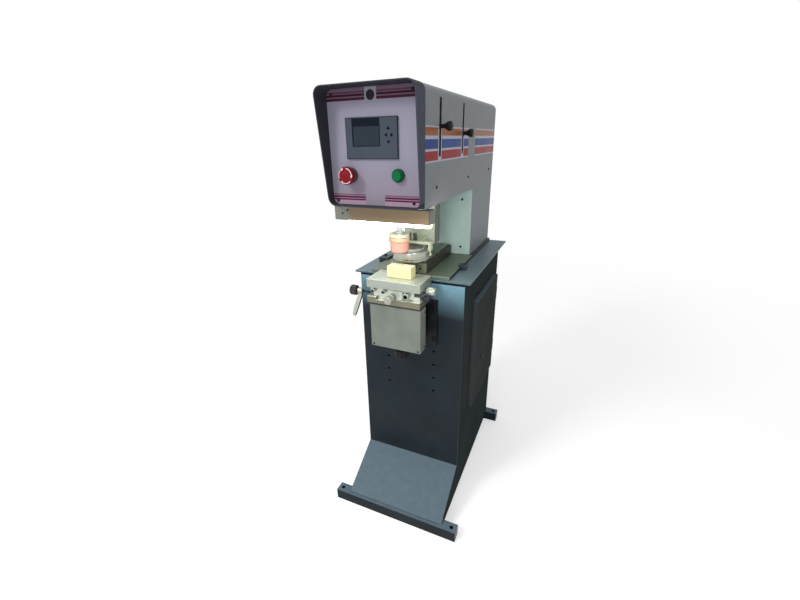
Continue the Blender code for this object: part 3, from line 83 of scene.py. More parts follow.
class Wire:
    """A value in a shader. Arithmetic and comparisons on it add Math nodes."""

    __add__ = __radd__ = maths("ADD")
    __sub__ = maths("SUBTRACT")
    __mul__ = __rmul__ = maths("MULTIPLY")
    __pow__ = maths("POWER")
    __gt__ = maths("GREATER_THAN")
    __lt__ = maths("LESS_THAN")
    __or__ = maths("MAXIMUM")
    __abs__ = maths("ABSOLUTE")

    def __init__(self, graph, socket):
        self.graph = graph
        self.socket = socket

    def __rsub__(self, other):
        return self.graph.node("Math", {0: other, 1: self}, operation="SUBTRACT")


class Graph:
    """A tree of shader nodes."""

    def __init__(self, tree):
        self.tree = tree

    def connect(self, inputs, sockets):
        """Give inputs their values or links."""
        for socket, value in sockets.items():
            if isinstance(value, Wire):
                self.tree.links.new(value.socket, inputs[socket])
            else:
                inputs[socket].default_value = value

    def node(self, kind, sockets=(), output=0, **settings):
        """Add a node, set its settings, then give its sockets their values or links."""
        made = self.tree.nodes.new("ShaderNode" + kind)
        for setting, value in settings.items():
            setattr(made, setting, value)
        self.connect(made.inputs, dict(sockets))
        return Wire(self, made.outputs[output])


class Finish(Graph):
    """A procedural material: its Principled shader and the nodes that feed it."""

    def __init__(self, name, gloss=0.5, metal=0.0):
        self.material = bpy.data.materials.new(name)
        self.material.use_nodes = True
        super().__init__(self.material.node_tree)
        self.feed({"Specular IOR Level": gloss, "Metallic": metal})
        self.place = self.node("TexCoord", output="Object")

    def feed(self, sockets):
        self.connect(self.tree.nodes["Principled BSDF"].inputs, sockets)
        return self.material

    def along(self, axis, vector=None):
        """One part of a vector, which is the place on the object unless another is given."""
        return self.node("SeparateXYZ", {0: vector or self.place}, output=axis)

    def axes(self, names="XYZ", vector=None):
        return [self.along(axis, vector) for axis in names]

    def facing(self, axis):
        """How squarely the surface faces along an axis, from -1 to 1."""
        return self.along(axis, self.node("NewGeometry", output="Normal"))

    def mix(self, share, first, second, **settings):
        """A colour between first and second."""
        return self.node("Mix", {0: share, 6: first, 7: second}, output=2, data_type="RGBA", **settings)

    def noise(self, scale, stretch=(1.0, 1.0, 1.0), detail=3.0):
        """Noise with scale grains to the metre, longer along an axis whose stretch is small."""
        spot = self.node("Mapping", {"Vector": self.place, "Scale": stretch})
        return self.node("TexNoise", {"Vector": spot, "Scale": scale, "Detail": detail})

    def ramp(self, value, low, high, start=0.0, end=1.0):
        """Value's run from low to high, as a run from start to end."""
        return self.node("MapRange", {0: value, 1: low, 2: high, 3: start, 4: end})

    def band(self, value, low, high):
        """1 between low and high, and 0 outside."""
        return (value > low) * (value < high)

    def bump(self, height):
        """A normal from a height in metres."""
        return self.node("Bump", {"Distance": 1.0, "Height": height})


def enamel(name, colour, dusty, settles=0.75, gloss=0.05, under_table=None):
    """Enamel on sheet steel: orange peel, a slow wave, hand marks, a pale dusting and painted sheen on upper
    faces, and painted light and shadow under the table where under_table is given.
    """
    paint = Finish(name, gloss)
    marks = paint.noise(6.0, detail=5.0)
    film = paint.ramp(paint.noise(45.0, detail=6.0), 0.35, 0.7, 0.88, 1.0)
    # Upper faces go paler: dust, and a painted sheen.
    dust_and_sheen = paint.ramp(paint.facing("Z"), 0.2, 0.9) * film * settles
    tone = paint.mix(paint.ramp(marks, 0.3, 0.7), tint(colour), tint(colour, step=9))
    if under_table:
        # Painted light: a pale band below the table. Painted shadow: a dark line right under its edge.
        light_run, light_tone, shadow_from, shadow_tone = under_table
        height = paint.along("Z")
        tone = paint.mix(paint.ramp(height, *light_run) * film, tone, tint(light_tone))
        tone = paint.mix(height > shadow_from, tone, tint(shadow_tone))
    peel = paint.noise(300.0, detail=1.0) * 0.000008
    wave = paint.noise(4.5, detail=0.0) * 0.0003
    return paint.feed({
        "Base Color": paint.mix(dust_and_sheen, tone, tint(dusty)),
        "Roughness": paint.ramp(marks, 0.3, 0.75, 0.14, 0.3) + dust_and_sheen * 0.2,
        "Normal": paint.bump(peel + wave),
    })


def ease(shape, radius, segments=2, before=math.inf):
    """Round the sharp edges of a shape, or only those with both ends in front of y = before."""
    sharp = [edge for edge in shape.edges
             if edge.is_manifold and edge.calc_face_angle() > SHARP_ABOVE
             and max(end.co.y for end in edge.verts) < before]
    bmesh.ops.bevel(shape, geom=sharp, offset=radius, affect="EDGES", segments=segments,
                    profile=0.5, material=-1, clamp_overlap=True)
    return shape


def mesh_of(name, shape):
    """Turn a shape into a mesh."""
    mesh = bpy.data.meshes.new(name)
    shape.to_mesh(mesh)
    shape.free()
    return mesh


def show(name, data):
    """Put a new object with its data into the scene."""
    made = bpy.data.objects.new(name, data)
    bpy.context.scene.collection.objects.link(made)
    return made


def piece(name, shape, node, material, body=None):
    """Make an object of a shape, for a CAD node. It moves with that node's body or another."""
    bmesh.ops.remove_doubles(shape, verts=shape.verts, dist=WELD / 10)
    bmesh.ops.recalc_face_normals(shape, faces=shape.faces)
    mesh = mesh_of(name, shape)
    mesh.materials.append(material)
    mesh.shade_smooth()
    mesh.set_sharp_from_angle(angle=SMOOTH_BELOW)
    made = show(name, mesh)
    made.modifiers.new("even_shading", "WEIGHTED_NORMAL").keep_sharp = True
    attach(made, body or frame["nodes"][node]["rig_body"])
    return made


def stand_in(name, shape, node, material):
    """Make an object of a shape, which shows in place of a CAD node."""
    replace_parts(piece(name, shape, node, material), node)


def finish_node(node, material, radius, segments=2, before=math.inf):
    """Show a copy of a CAD node in its place, merged, with whole flat faces and eased edges."""
    shape = bmesh.new()
    shape.from_mesh(frame["nodes"][node].data)
    bmesh.ops.remove_doubles(shape, verts=shape.verts, dist=WELD)
    bmesh.ops.dissolve_limit(shape, angle_limit=FLAT_WITHIN, verts=shape.verts, edges=shape.edges)
    stand_in(node + "_finished", ease(shape, radius, segments, before), node, material)


cabinet_enamel = enamel("cabinet_enamel", ENAMEL, ENAMEL_DUST_AND_SHEEN)
for bar in ("front_foot_bar", "rear_foot_bar"):
    finish_node(bar, cabinet_enamel, FOOT_EDGE)


# Cabinet: folded sheet steel 2.5 mm thick, with the front bent forwards as a toe plate, two
# flat sides and a louvred rear. The seams are welded and ground, then enamelled with the rest.
# Right under the table the front has painted light, a pale band, and a painted shadow, a dark line under the
# table's edge.
SHEET_EDGE = 0.001
SIDE_PAINTED_LIGHT_TONE = (54, 60, 61)
PAINTED_LIGHT_RUN = (0.68, 0.785, 0.0, 0.85)
PAINTED_LIGHT_TONE = (124, 164, 180)
PAINTED_SHADOW_FROM = 0.7865
PAINTED_SHADOW_TONE = (16, 24, 30)
UNDER_TABLE = (PAINTED_LIGHT_RUN, PAINTED_LIGHT_TONE, PAINTED_SHADOW_FROM, PAINTED_SHADOW_TONE)

front_enamel = enamel("front_enamel", ENAMEL, ENAMEL_DUST_AND_SHEEN, under_table=UNDER_TABLE)
finish_node("cabinet_front", front_enamel, SHEET_EDGE)
# The sides and rear take the same enamel without gloss, written paler than the front, which is painted
# light.
side_enamel = enamel("side_enamel", SIDE_PAINTED_LIGHT_TONE, ENAMEL_DUST_AND_SHEEN, gloss=0.0)
for panel in ("cabinet_left_side", "cabinet_right_side", "cabinet_rear"):
    finish_node(panel, side_enamel, SHEET_EDGE)


# Table: one 5 mm steel plate that overhangs the cabinet, enamelled like it but paler, as the
# light falls flat on it and dust and ink wipes dull it.
TABLE_EDGE = 0.0012
TABLE_TONE = (70, 86, 94)
TABLE_DUST_AND_SHEEN = (120, 140, 146)

finish_node("table_top", enamel("table_enamel", TABLE_TONE, TABLE_DUST_AND_SHEEN, 0.85), TABLE_EDGE)


# Door: a shallow enamelled tray on two lift-off hinges, which are zinc-plated steel screwed to
# the cabinet's side. A chromed cam lock keeps it shut.
DOOR_EDGE = 0.0007
DOOR_PAINTED_LIGHT_TONE = (66, 69, 69)
HINGE_EDGE = 0.0004


def plated(name, colour, rough, metal=1.0, streak=(1.0, 1.0, 1.0)):
    """Plated or plain steel: fine scratches, a cloudy sheen and a little tarnish."""
    skin = Finish(name, metal=metal)
    cloud = skin.noise(35.0, detail=4.0)
    scratch = skin.noise(700.0, streak, detail=2.0)
    stain = skin.ramp(skin.noise(90.0, detail=5.0), 0.55, 0.8)
    tone = skin.mix(cloud, tint(colour), tint(colour, 0.86))
    return skin.feed({
        "Base Color": skin.mix(stain * 0.35, tone, tint(colour, 0.55)),
        "Roughness": skin.ramp(cloud, 0.3, 0.7, rough, rough + 0.12) + scratch * 0.05,
        "Normal": skin.bump(scratch * 0.000004),
    })


# The door's enamel is written paler again, which is painted light.
finish_node("side_door", enamel("door_enamel", DOOR_PAINTED_LIGHT_TONE, ENAMEL_DUST_AND_SHEEN, gloss=0.0), DOOR_EDGE)
zinc = plated("zinc_plate", (150, 150, 144), 0.35)
for hinge in ("lower_door_hinge", "upper_door_hinge"):
    finish_node(hinge, zinc, HINGE_EDGE)
finish_node("door_lock", plated("lock_chrome", (40, 42, 44), 0.4), HINGE_EDGE)


# Knee: a black-painted casting that slides on a blackened steel rail. The rail is held to the
# cabinet by four socket screws. A grey powder-coated sheet cover hides the casting's front.
CASTING_EDGE = 0.001
COVER_EDGE = 0.0016
RAIL_BOLTS = {"-Y": [(x, -0.1603, z) for x in (-0.0795, 0.0795) for z in (0.612, 0.719)]}
RAIL_BOLT_SIZE = (0.0065, 0.006)
COVER_SCREWS = {"-Y": [(-0.0735, -0.253, 0.6135), (0.0655, -0.253, 0.6135)],
                "X": [(0.0735, -0.22, 0.615), (0.0735, -0.22, 0.725)]}
COVER_SCREW_SIZE = (0.0026, 0.0014)
HEAD_STEPS = 24
HEAD_CORNER = 0.12
HEAD_MOUTH = 0.52
SOCKET_FIT = 0.96
SOCKET_DEPTH = 0.6
SQUARE_ON = 0.6
TURNS = {"X": (90, "Y"), "-X": (-90, "Y"), "Y": (-90, "X"), "-Y": (90, "X"), "Z": (0, "Z")}


def set_at(shape, foot, axis):
    """Turn a shape that was made along Z to point along axis, and put its origin on foot."""
    angle, about = TURNS[axis]
    turn = Matrix.Rotation(math.radians(angle), 4, about)
    bmesh.ops.transform(shape, matrix=Matrix.Translation(foot) @ turn, verts=shape.verts)
    return shape


def spun(profile, steps, foot=(0.0, 0.0, 0.0), axis="Z"):
    """Spin a line of (radius, height) points right round, and set it on foot along axis."""
    shape = bmesh.new()
    points = [shape.verts.new((radius, 0.0, height)) for radius, height in profile]
    line = [shape.edges.new(pair) for pair in zip(points, points[1:])]
    bmesh.ops.spin(shape, geom=points + line, cent=(0, 0, 0), axis=(0, 0, 1), angle=math.tau,
                   steps=steps, use_merge=True)
    bmesh.ops.remove_doubles(shape, verts=shape.verts, dist=WELD / 10)
    return set_at(shape, foot, axis)


def screw_head(foot, axis, radius, height, dome=0.0):
    """A screw's head with a hexagon socket, standing on foot. Its edge is lower than its mouth by dome."""
    corner = radius * HEAD_CORNER
    mouth = radius * HEAD_MOUTH
    shape = spun([(0.0, 0.0), (radius, 0.0), (radius, height - corner - dome),
                  (radius - corner, height - dome), (mouth, height)], HEAD_STEPS)
    rim = [edge for edge in shape.edges if edge.is_boundary]
    hexagon = bmesh.ops.create_circle(shape, segments=6, radius=mouth * SOCKET_FIT,
                                      matrix=Matrix.Translation((0, 0, height)))
    sides = [edge for edge in shape.edges if all(end in hexagon["verts"] for end in edge.verts)]
    bmesh.ops.bridge_loops(shape, edges=rim + sides)
    sunk = bmesh.ops.extrude_edge_only(shape, edges=sides)["geom"]
    low = [item for item in sunk if isinstance(item, bmesh.types.BMVert)]
    bmesh.ops.translate(shape, verts=low, vec=(0, 0, -height * SOCKET_DEPTH))
    floor_edges = [edge for edge in shape.edges if all(end in low for end in edge.verts)]
    bmesh.ops.contextual_create(shape, geom=floor_edges)
    return set_at(shape, foot, axis)


def gather(*shapes):
    """Put several shapes into one, as the shells of one piece."""
    whole = bmesh.new()
    for shape in shapes:
        bmesh.ops.recalc_face_normals(shape, faces=shape.faces)
        carrier = mesh_of("carrier", shape)
        whole.from_mesh(carrier)
        bpy.data.meshes.remove(carrier)
    return whole


def screws(name, node, places, size, material):
    """Like screws as one piece. Places holds the feet of those that point along each axis."""
    heads = [screw_head(foot, axis, *size) for axis, feet in places.items() for foot in feet]
    piece(name, gather(*heads), node, material)


def powder_coat(name, colour):
    """Powder coat: a close orange peel, faint mottling and a slightly uneven sheen."""
    coat = Finish(name, gloss=0.1)
    mottle = coat.ramp(coat.noise(18.0, detail=5.0), 0.3, 0.7)
    return coat.feed({
        "Base Color": coat.mix(mottle, tint(colour, step=-6), tint(colour, step=7)),
        "Roughness": 0.37 + mottle * 0.13,
        "Normal": coat.bump(coat.noise(420.0, detail=2.0) * 0.00002),
    })


def blackened(name, colour, rough=0.42, metal=0.75, front=None):
    """Oil-blackened steel: dark, a little paler where it is worn. Its front may take a paler tone, as
    painted light.
    """
    skin = Finish(name, 0.2, metal)
    patch = skin.noise(26.0, detail=5.0)
    tone = skin.mix(skin.ramp(patch, 0.52, 0.75), tint(colour), tint(colour, 1.2, 4))
    if front:
        # Painted light: the front face is paler.
        tone = skin.mix(skin.facing("Y") < -SQUARE_ON, tone, tint(front))
    return skin.feed({
        "Base Color": tone,
        "Roughness": skin.ramp(patch, 0.3, 0.7, rough - 0.1, rough + 0.12),
        "Normal": skin.bump(skin.noise(900.0, detail=2.0) * 0.000008),
    })


def cast_paint(name, colour):
    """Thick paint on a casting: coarse sand texture, satin."""
    coat = Finish(name, gloss=0.35)
    sand = coat.noise(260.0, detail=4.0)
    return coat.feed({
        "Base Color": coat.mix(coat.noise(14.0), tint(colour), tint(colour, step=12)),
        "Roughness": coat.ramp(sand, 0.3, 0.7, 0.4, 0.6),
        "Normal": coat.bump(sand * 0.00012),
    })


black_oxide = blackened("black_oxide", (26, 28, 30), metal=0.3)
finish_node("knee_rail", black_oxide, CASTING_EDGE)
finish_node("knee_slide", cast_paint("casting_black", (38, 38, 37)), CASTING_EDGE)
finish_node("knee_cover", powder_coat("cover_coat", (119, 125, 118)), COVER_EDGE, 3)
screws("rail_bolts", "knee_rail", RAIL_BOLTS, RAIL_BOLT_SIZE, black_oxide)
screws("cover_screws", "knee_cover", COVER_SCREWS, COVER_SCREW_SIZE, black_oxide)


# Lift screw: a turned steel screw with a thick black hand knob moulded on its lower end. The
# knob has grip flutes. It raises the knee through the rail's lug.
KNOB_LOW = -0.034
LIFT_KNOB = [(0.0, KNOB_LOW), (0.015, KNOB_LOW), (0.021, -0.0315), (0.024, -0.0265), (0.024, -0.0115),
             (0.0215, -0.008), (0.011, -0.0062), (0.01, -0.005), (0.01, 0.0), (0.0, 0.0)]
LIFT_GRIP = dict(count=10, steps=8, beyond=0.0205, depth=0.0022, low=-0.03, high=-0.009)
LIFT_ROD = [(0.0, 0.0), (0.005, 0.0), (0.005, 0.006), (0.008, 0.006), (0.008, 0.0135),
            (0.005, 0.0135), (0.005, 0.131), (0.004, 0.132), (0.0, 0.132)]
LIFT_ROD_STEPS = 32
LIFT_ROD_EDGE = 0.0003
LIFT_FOOT = (-0.005, -0.208, 0.596)


def gripped(profile, foot, axis, count, steps, beyond, depth, low, high):
    """Spin a profile with count flutes, steps points each, pressed in beyond a radius from low to high."""
    shape = spun(profile, count * steps)
    for vert in shape.verts:
        away = math.hypot(vert.co.x, vert.co.y)
        if away > beyond and low < vert.co.z < high:
            turn = math.atan2(vert.co.y, vert.co.x)
            shrink = 1 - depth * (0.5 - 0.5 * math.cos(count * turn)) ** 2 / away
            vert.co.x *= shrink
            vert.co.y *= shrink
    return set_at(shape, foot, axis)


def moulded(name, colour, rough=0.42, gloss=0.2, shaft=None):
    """Moulded plastic: fine grain and faint flow marks. A steel shaft may start at an x, with its tone."""
    skin = Finish(name, gloss)
    flow = skin.noise(40.0)
    tone = skin.mix(flow, tint(colour), tint(colour, step=10))
    if shaft:
        tone = skin.mix(skin.along("X") > shaft[0], tone, tint(shaft[1]))
    return skin.feed({
        "Base Color": tone,
        "Roughness": skin.ramp(flow, 0.3, 0.7, rough - 0.06, rough + 0.08),
        "Normal": skin.bump(skin.noise(800.0, detail=2.0) * 0.000012),
    })


black_plastic = moulded("black_plastic", (22, 22, 24), gloss=0.12)
lift_knob = gripped(LIFT_KNOB, LIFT_FOOT, "Z", **LIFT_GRIP)
lift_rod = ease(spun(LIFT_ROD, LIFT_ROD_STEPS, LIFT_FOOT), LIFT_ROD_EDGE)
stand_in("lift_screw_turned", gather(lift_knob, lift_rod), "lift_screw", black_plastic)


# Cross table: four ground plates one on another. The lower plate sits on the knee, the next
# slides in and out, the next left and right, and the work plate is bolted on top.
PLATE_EDGE = 0.0007
WHITE = (1.0, 1.0, 1.0, 1.0)
ALONG_X = (0.02, 1.0, 1.0)
ALONG_Y = (1.0, 0.02, 1.0)
OIL_SHARES = (0.8, 0.78, 0.68)


def milled(name, colour, grain, rough=0.3, sides=(1.0, 1.0, 1.0), metal=0.85):
    """Milled or ground metal: feed lines along one axis, crossed by scuffs and oil marks. Faces that do not
    face up are multiplied by sides, as painted shade.
    """
    skin = Finish(name, metal=metal)
    lines = skin.noise(1400.0, grain, detail=2.0)
    scuff = skin.ramp(skin.noise(60.0, detail=6.0), 0.5, 0.75)
    oil = skin.ramp(skin.noise(14.0, detail=4.0), 0.48, 0.7)
    oiled = [part * share for part, share in zip(colour, OIL_SHARES)]
    tone = skin.mix(lines, tint(colour), tint(colour, 0.9))
    tone = skin.mix(oil * 0.35, tone, tint(oiled))
    # Painted shade: the sides are darker than the top.
    side_shade = skin.mix(skin.facing("Z") < 0.5, WHITE, (*sides, 1.0))
    return skin.feed({
        "Base Color": skin.mix(1.0, tone, side_shade, blend_type="MULTIPLY"),
        "Roughness": rough + lines * 0.12 + scuff * 0.12,
        "Normal": skin.bump(lines * 0.000006 + scuff * 0.000004),
    })


slide_steel = milled("slide_steel", (214, 220, 208), ALONG_Y, sides=(0.84, 0.84, 0.84))
plate_steel = milled("plate_steel", (210, 218, 206), ALONG_X, sides=(0.58, 0.58, 0.58), metal=0.6)
# The lower plate's sides are darkest and brownish, as painted shade.
side_shaded_steel = milled("side_shaded_steel", (210, 216, 200), ALONG_X, sides=(0.32, 0.29, 0.24), metal=0.6)
finish_node("work_plate", plate_steel, PLATE_EDGE)
finish_node("lower_plate", side_shaded_steel, PLATE_EDGE)
for plate in ("y_slide", "x_slide"):
    finish_node(plate, slide_steel, PLATE_EDGE)


# Socket screws on the cross table's front: two set the cross slide's gib and a large one
# clamps the in-and-out slide. Their heads are bright steel, with dark oil in the sockets.
GIB_SCREWS = [(-0.0674, -0.2458, 0.7828), (-0.035, -0.2458, 0.7832)]
GIB_SIZE = (0.0058, 0.015)
CLAMP_SCREW = (0.0325, -0.2463, 0.7785)
CLAMP_SIZE = (0.0085, 0.0155)
BOSS_FOOT = (0.0325, -0.244, 0.7705)
BOSS = [(0.0, 0.0), (0.0046, 0.0), (0.0046, 0.003), (0.0, 0.003)]
BOSS_EDGE = 0.0002
OILED_SHARE = 0.7
HEAD_TONE = (176, 182, 168)
HEAD_RUBBED = (128, 134, 122)
SOCKET_TONE = (12, 13, 14)

bright_head = Finish("bright_head", metal=0.5)
x, z = bright_head.axes("XZ")
oiled = 0.0
for foot, (radius, _) in [(gib, GIB_SIZE) for gib in GIB_SCREWS] + [(CLAMP_SCREW, CLAMP_SIZE)]:
    oiled = ((x - foot[0]) ** 2.0 + (z - foot[2]) ** 2.0 < (radius * OILED_SHARE) ** 2) + oiled
rubbing = bright_head.noise(120.0, detail=4.0)
head_tone = bright_head.mix(rubbing, tint(HEAD_TONE), tint(HEAD_RUBBED))
bright_head.feed({
    "Base Color": bright_head.mix(oiled, head_tone, tint(SOCKET_TONE)),
    "Roughness": 0.26 + rubbing * 0.14,
    "Normal": bright_head.bump(rubbing * 0.00001),
})
screws("gib_screws", "x_slide", {"-Y": GIB_SCREWS}, GIB_SIZE, bright_head.material)
boss = ease(spun(BOSS, HEAD_STEPS, BOSS_FOOT, "-Y"), BOSS_EDGE)
piece("clamp_screw", gather(screw_head(CLAMP_SCREW, "-Y", *CLAMP_SIZE), boss), "y_slide",
      bright_head.material)


# Feed knobs: turned aluminium drums with a chamfered rim and straight knurling, each fixed on
# its feed screw.
FEED_SCREW_RADIUS = 0.003
FEED_KNOBS = (("y_knob", (-0.0109, -0.283, 0.768), "Y", 0.011, 0.07),
              ("x_knob", (0.1025, -0.2125, 0.7858), "-X", 0.012, 0.09))
GROOVE = 0.0006
KNURL_SKIN = 0.0002
FEED_GRIP = dict(count=36, steps=4, depth=0.0005, low=0.0058, high=0.0192)


def feed_knob(radius, reach):
    """A knob's outline from the middle of its outer face, round the drum, to its screw's far end."""
    waist = radius - GROOVE
    return [(0.0, 0.0004), (radius * 0.35, 0.0004), (radius * 0.42, 0.0), (radius - 0.0014, 0.0),
            (radius, 0.0014), (radius, 0.004), (waist, 0.0046), (waist, 0.0054),
            (radius, 0.006), (radius, 0.019), (waist, 0.0196), (waist, 0.0206),
            (radius, 0.0212), (radius, 0.0235), (radius - 0.001, 0.0245), (FEED_SCREW_RADIUS, 0.0245),
            (FEED_SCREW_RADIUS, reach), (0.0, reach)]


turned_aluminium = plated("turned_aluminium", (172, 176, 164), 0.25, 0.8)
for knob, foot, axis, radius, reach in FEED_KNOBS:
    drum = gripped(feed_knob(radius, reach), foot, axis, beyond=radius - KNURL_SKIN, **FEED_GRIP)
    stand_in(knob + "_turned", drum, knob, turned_aluminium)


# Locking knob and clamping lever on the left, on one steel shaft: a knurled black knob, and a
# cast aluminium lever with a round hub that hangs down. A small black knob is on the right.
LOCK_KNOB = [(0.0, 0.0006), (0.006, 0.0006), (0.007, 0.0), (0.0125, 0.0), (0.0147, 0.0022),
             (0.0147, 0.018), (0.0125, 0.0203), (0.0072, 0.0214), (0.003, 0.022), (0.003, 0.085),
             (0.0, 0.085)]
LOCK_KNOB_FOOT = (-0.1505, -0.235, 0.7675)
LOCK_GRIP = dict(count=28, steps=4, beyond=0.014, depth=0.0009, low=0.0015, high=0.019)
SHAFT = (-0.129, (14, 18, 24))
LEVER_EDGE = 0.0014
SIDE_KNOB = [(0.0, -0.018), (0.003, -0.018), (0.003, 0.0), (0.0072, 0.0), (0.0085, 0.0018),
             (0.0085, 0.014), (0.007, 0.0162), (0.0, 0.0165)]
SIDE_KNOB_FOOT = (0.0725, -0.225, 0.768)
SIDE_GRIP = dict(count=14, steps=6, beyond=0.008, depth=0.0009, low=0.0015, high=0.015)

stand_in("lock_knob_turned", gripped(LOCK_KNOB, LOCK_KNOB_FOOT, "X", **LOCK_GRIP), "lock_knob",
         moulded("knob_black", (48, 40, 41), 0.38, shaft=SHAFT))
finish_node("lock_lever", plated("tumbled_aluminium", (184, 189, 178), 0.26, 0.9), LEVER_EDGE, 3)
stand_in("side_lock_knob_turned", gripped(SIDE_KNOB, SIDE_KNOB_FOOT, "X", **SIDE_GRIP), "side_lock_knob",
         moulded("small_knob_black", (44, 44, 54), 0.38))


# Fixture: a nest cast in cream resin, rounded by hand, with a shallow pocket for the article.
# It stands on the work plate, right under the pad.
FIXTURE_EDGE = 0.0006
RESIN = (210, 206, 160)
RESIN_DEEP = (214, 202, 148)
RESIN_TOP_PAINTED_LIGHT = (244, 242, 214)
FLAT_TOP = 0.8

resin = Finish("cream_resin", gloss=0.4)
cloud = resin.noise(42.0)
pits = resin.ramp(resin.noise(380.0, detail=2.0), 0.62, 0.72)
# Painted light: the top is written paler, as the pad shades it.
lit_tone = resin.mix(resin.facing("Z") > FLAT_TOP, tint(RESIN), tint(RESIN_TOP_PAINTED_LIGHT))
resin.feed({
    "Base Color": resin.mix(resin.ramp(cloud, 0.45, 0.75) * 0.7 + pits * 0.2, lit_tone, tint(RESIN_DEEP)),
    "Roughness": resin.ramp(cloud, 0.3, 0.7, 0.45, 0.6),
    "Normal": resin.bump(resin.noise(70.0, detail=2.0) * 0.0006 - pits * 0.0001),
})
finish_node("fixture_block", resin.material, FIXTURE_EDGE)


# Bed: a dark satin steel plate on the table, held by two blackened clamps, with the long plate
# holder on it. The ground steel printing plate lies in the holder.
BED_EDGE = 0.0008
BED_TONE = (108, 120, 106)
BED_WORN = (120, 130, 112)
BED_SIDE_AND_SHADE = (22, 24, 24)
BED_FRONT = (104, 118, 108)
BED_SHADE_FROM = 0.099
CLAMP_BOLTS = (("left_clamp", (-0.1425, -0.02, 0.8155), (0.005, 0.0034)),
               ("right_clamp", (0.129, -0.0305, 0.8155), (0.004, 0.002)))
HOLDER_LIT_FRONT = (134, 142, 118)
HOLDER_SCREWS = {"-Y": [(-0.042, -0.148, 0.826), (0.032, -0.148, 0.826)]}
HOLDER_SCREW_SIZE = (0.0035, 0.002)
PRINT_EDGE = 0.0004

bed_steel = Finish("bed_steel", 0.3, 0.4)
patch = bed_steel.noise(26.0, detail=5.0)
# Its sides are near black, blackened steel and painted shade, and its top is painted shade behind the
# column's front.
unshaded_top = (bed_steel.facing("Z") > SQUARE_ON) * (bed_steel.along("Y") < BED_SHADE_FROM)
bed_tone = bed_steel.mix(bed_steel.ramp(patch, 0.4, 0.7), tint(BED_TONE), tint(BED_WORN))
bed_tone = bed_steel.mix(unshaded_top, tint(BED_SIDE_AND_SHADE), bed_tone)
bed_steel.feed({
    "Base Color": bed_steel.mix(bed_steel.facing("Y") < -SQUARE_ON, bed_tone, tint(BED_FRONT)),
    "Roughness": bed_steel.ramp(patch, 0.3, 0.7, 0.36, 0.52),
    "Normal": bed_steel.bump(bed_steel.noise(900.0, detail=2.0) * 0.000008),
})
finish_node("bed_plate", bed_steel.material, BED_EDGE)
clamp_steel = blackened("clamp_steel", (58, 67, 71))
for clamp, foot, size in CLAMP_BOLTS:
    finish_node(clamp, clamp_steel, BED_EDGE)
    screws(clamp + "_bolt", clamp, {"Z": [foot]}, size, black_oxide)
finish_node("plate_holder", blackened("holder_steel", (54, 54, 46), 0.36, 0.6, HOLDER_LIT_FRONT), BED_EDGE)
finish_node("printing_plate", milled("lapped_plate", (132, 136, 116), ALONG_X, 0.2), PRINT_EDGE)
screws("holder_screws", "plate_holder", HOLDER_SCREWS, HOLDER_SCREW_SIZE, black_oxide)


# Ink cup: turned and polished steel, with a wide rim, a step and a dished top. A lapped ring of
# hard metal under it wipes the printing plate.
CUP_FOOT = (-0.005, -0.126, 0.0)
CUP = [(0.0, 0.869), (0.0395, 0.869), (0.0415, 0.868), (0.042, 0.8665), (0.042, 0.8498),
       (0.0532, 0.8498), (0.054, 0.8504), (0.054, 0.8538), (0.0534, 0.8545), (0.0512, 0.8545),
       (0.05, 0.8555), (0.05, 0.86), (0.0496, 0.8604), (0.0496, 0.8612), (0.05, 0.8616),
       (0.0499, 0.8725), (0.0492, 0.874), (0.048, 0.8745), (0.04, 0.8745), (0.039, 0.8752),
       (0.039, 0.8834), (0.0384, 0.884), (0.0346, 0.884), (0.034, 0.8834), (0.0338, 0.8826),
       (0.012, 0.8824), (0.0, 0.8824)]
RING = [(0.0425, 0.8458), (0.046, 0.8458), (0.0466, 0.8464), (0.047, 0.8476), (0.047, 0.8492),
        (0.0467, 0.8495), (0.0428, 0.8495), (0.0425, 0.8492), (0.0425, 0.8458)]
CUP_STEPS = 96
RINGS_TO_METRE = 2600.0


def polished(name, colour, centre, rough):
    """Polished turned steel: rings round its upright axis, wipe marks, and a dull film on top."""
    skin = Finish(name)
    filmed = skin.facing("Z") > FLAT_TOP
    spot = skin.node("VectorMath", {0: skin.place, 1: centre}, operation="SUBTRACT")
    flat = skin.node("VectorMath", {0: spot, 1: (1.0, 1.0, 0.0)}, operation="MULTIPLY")
    radius = skin.node("VectorMath", {0: flat}, output="Value", operation="LENGTH")
    rung = (radius + skin.along("Z", spot)) * RINGS_TO_METRE
    rings = skin.node("TexNoise", {"W": rung, "Scale": 1.0, "Detail": 2.0}, noise_dimensions="1D")
    wiped = skin.noise(50.0, detail=4.0)
    return skin.feed({
        "Base Color": skin.mix(wiped, tint(colour), tint(colour, 0.88)),
        "Metallic": 1.0 - filmed * 0.65,
        "Roughness": rough + rings * 0.1 + skin.ramp(wiped, 0.45, 0.7) * 0.1 + filmed * 0.2,
        "Normal": skin.bump(rings * 0.000006),
    })


stand_in("ink_cup_turned", spun(CUP, CUP_STEPS, CUP_FOOT), "ink_cup",
         polished("cup_steel", (182, 185, 172), CUP_FOOT, 0.16))
stand_in("cup_ring_turned", spun(RING, CUP_STEPS, CUP_FOOT), "cup_ring",
         polished("ring_steel", (222, 222, 214), CUP_FOOT, 0.2))


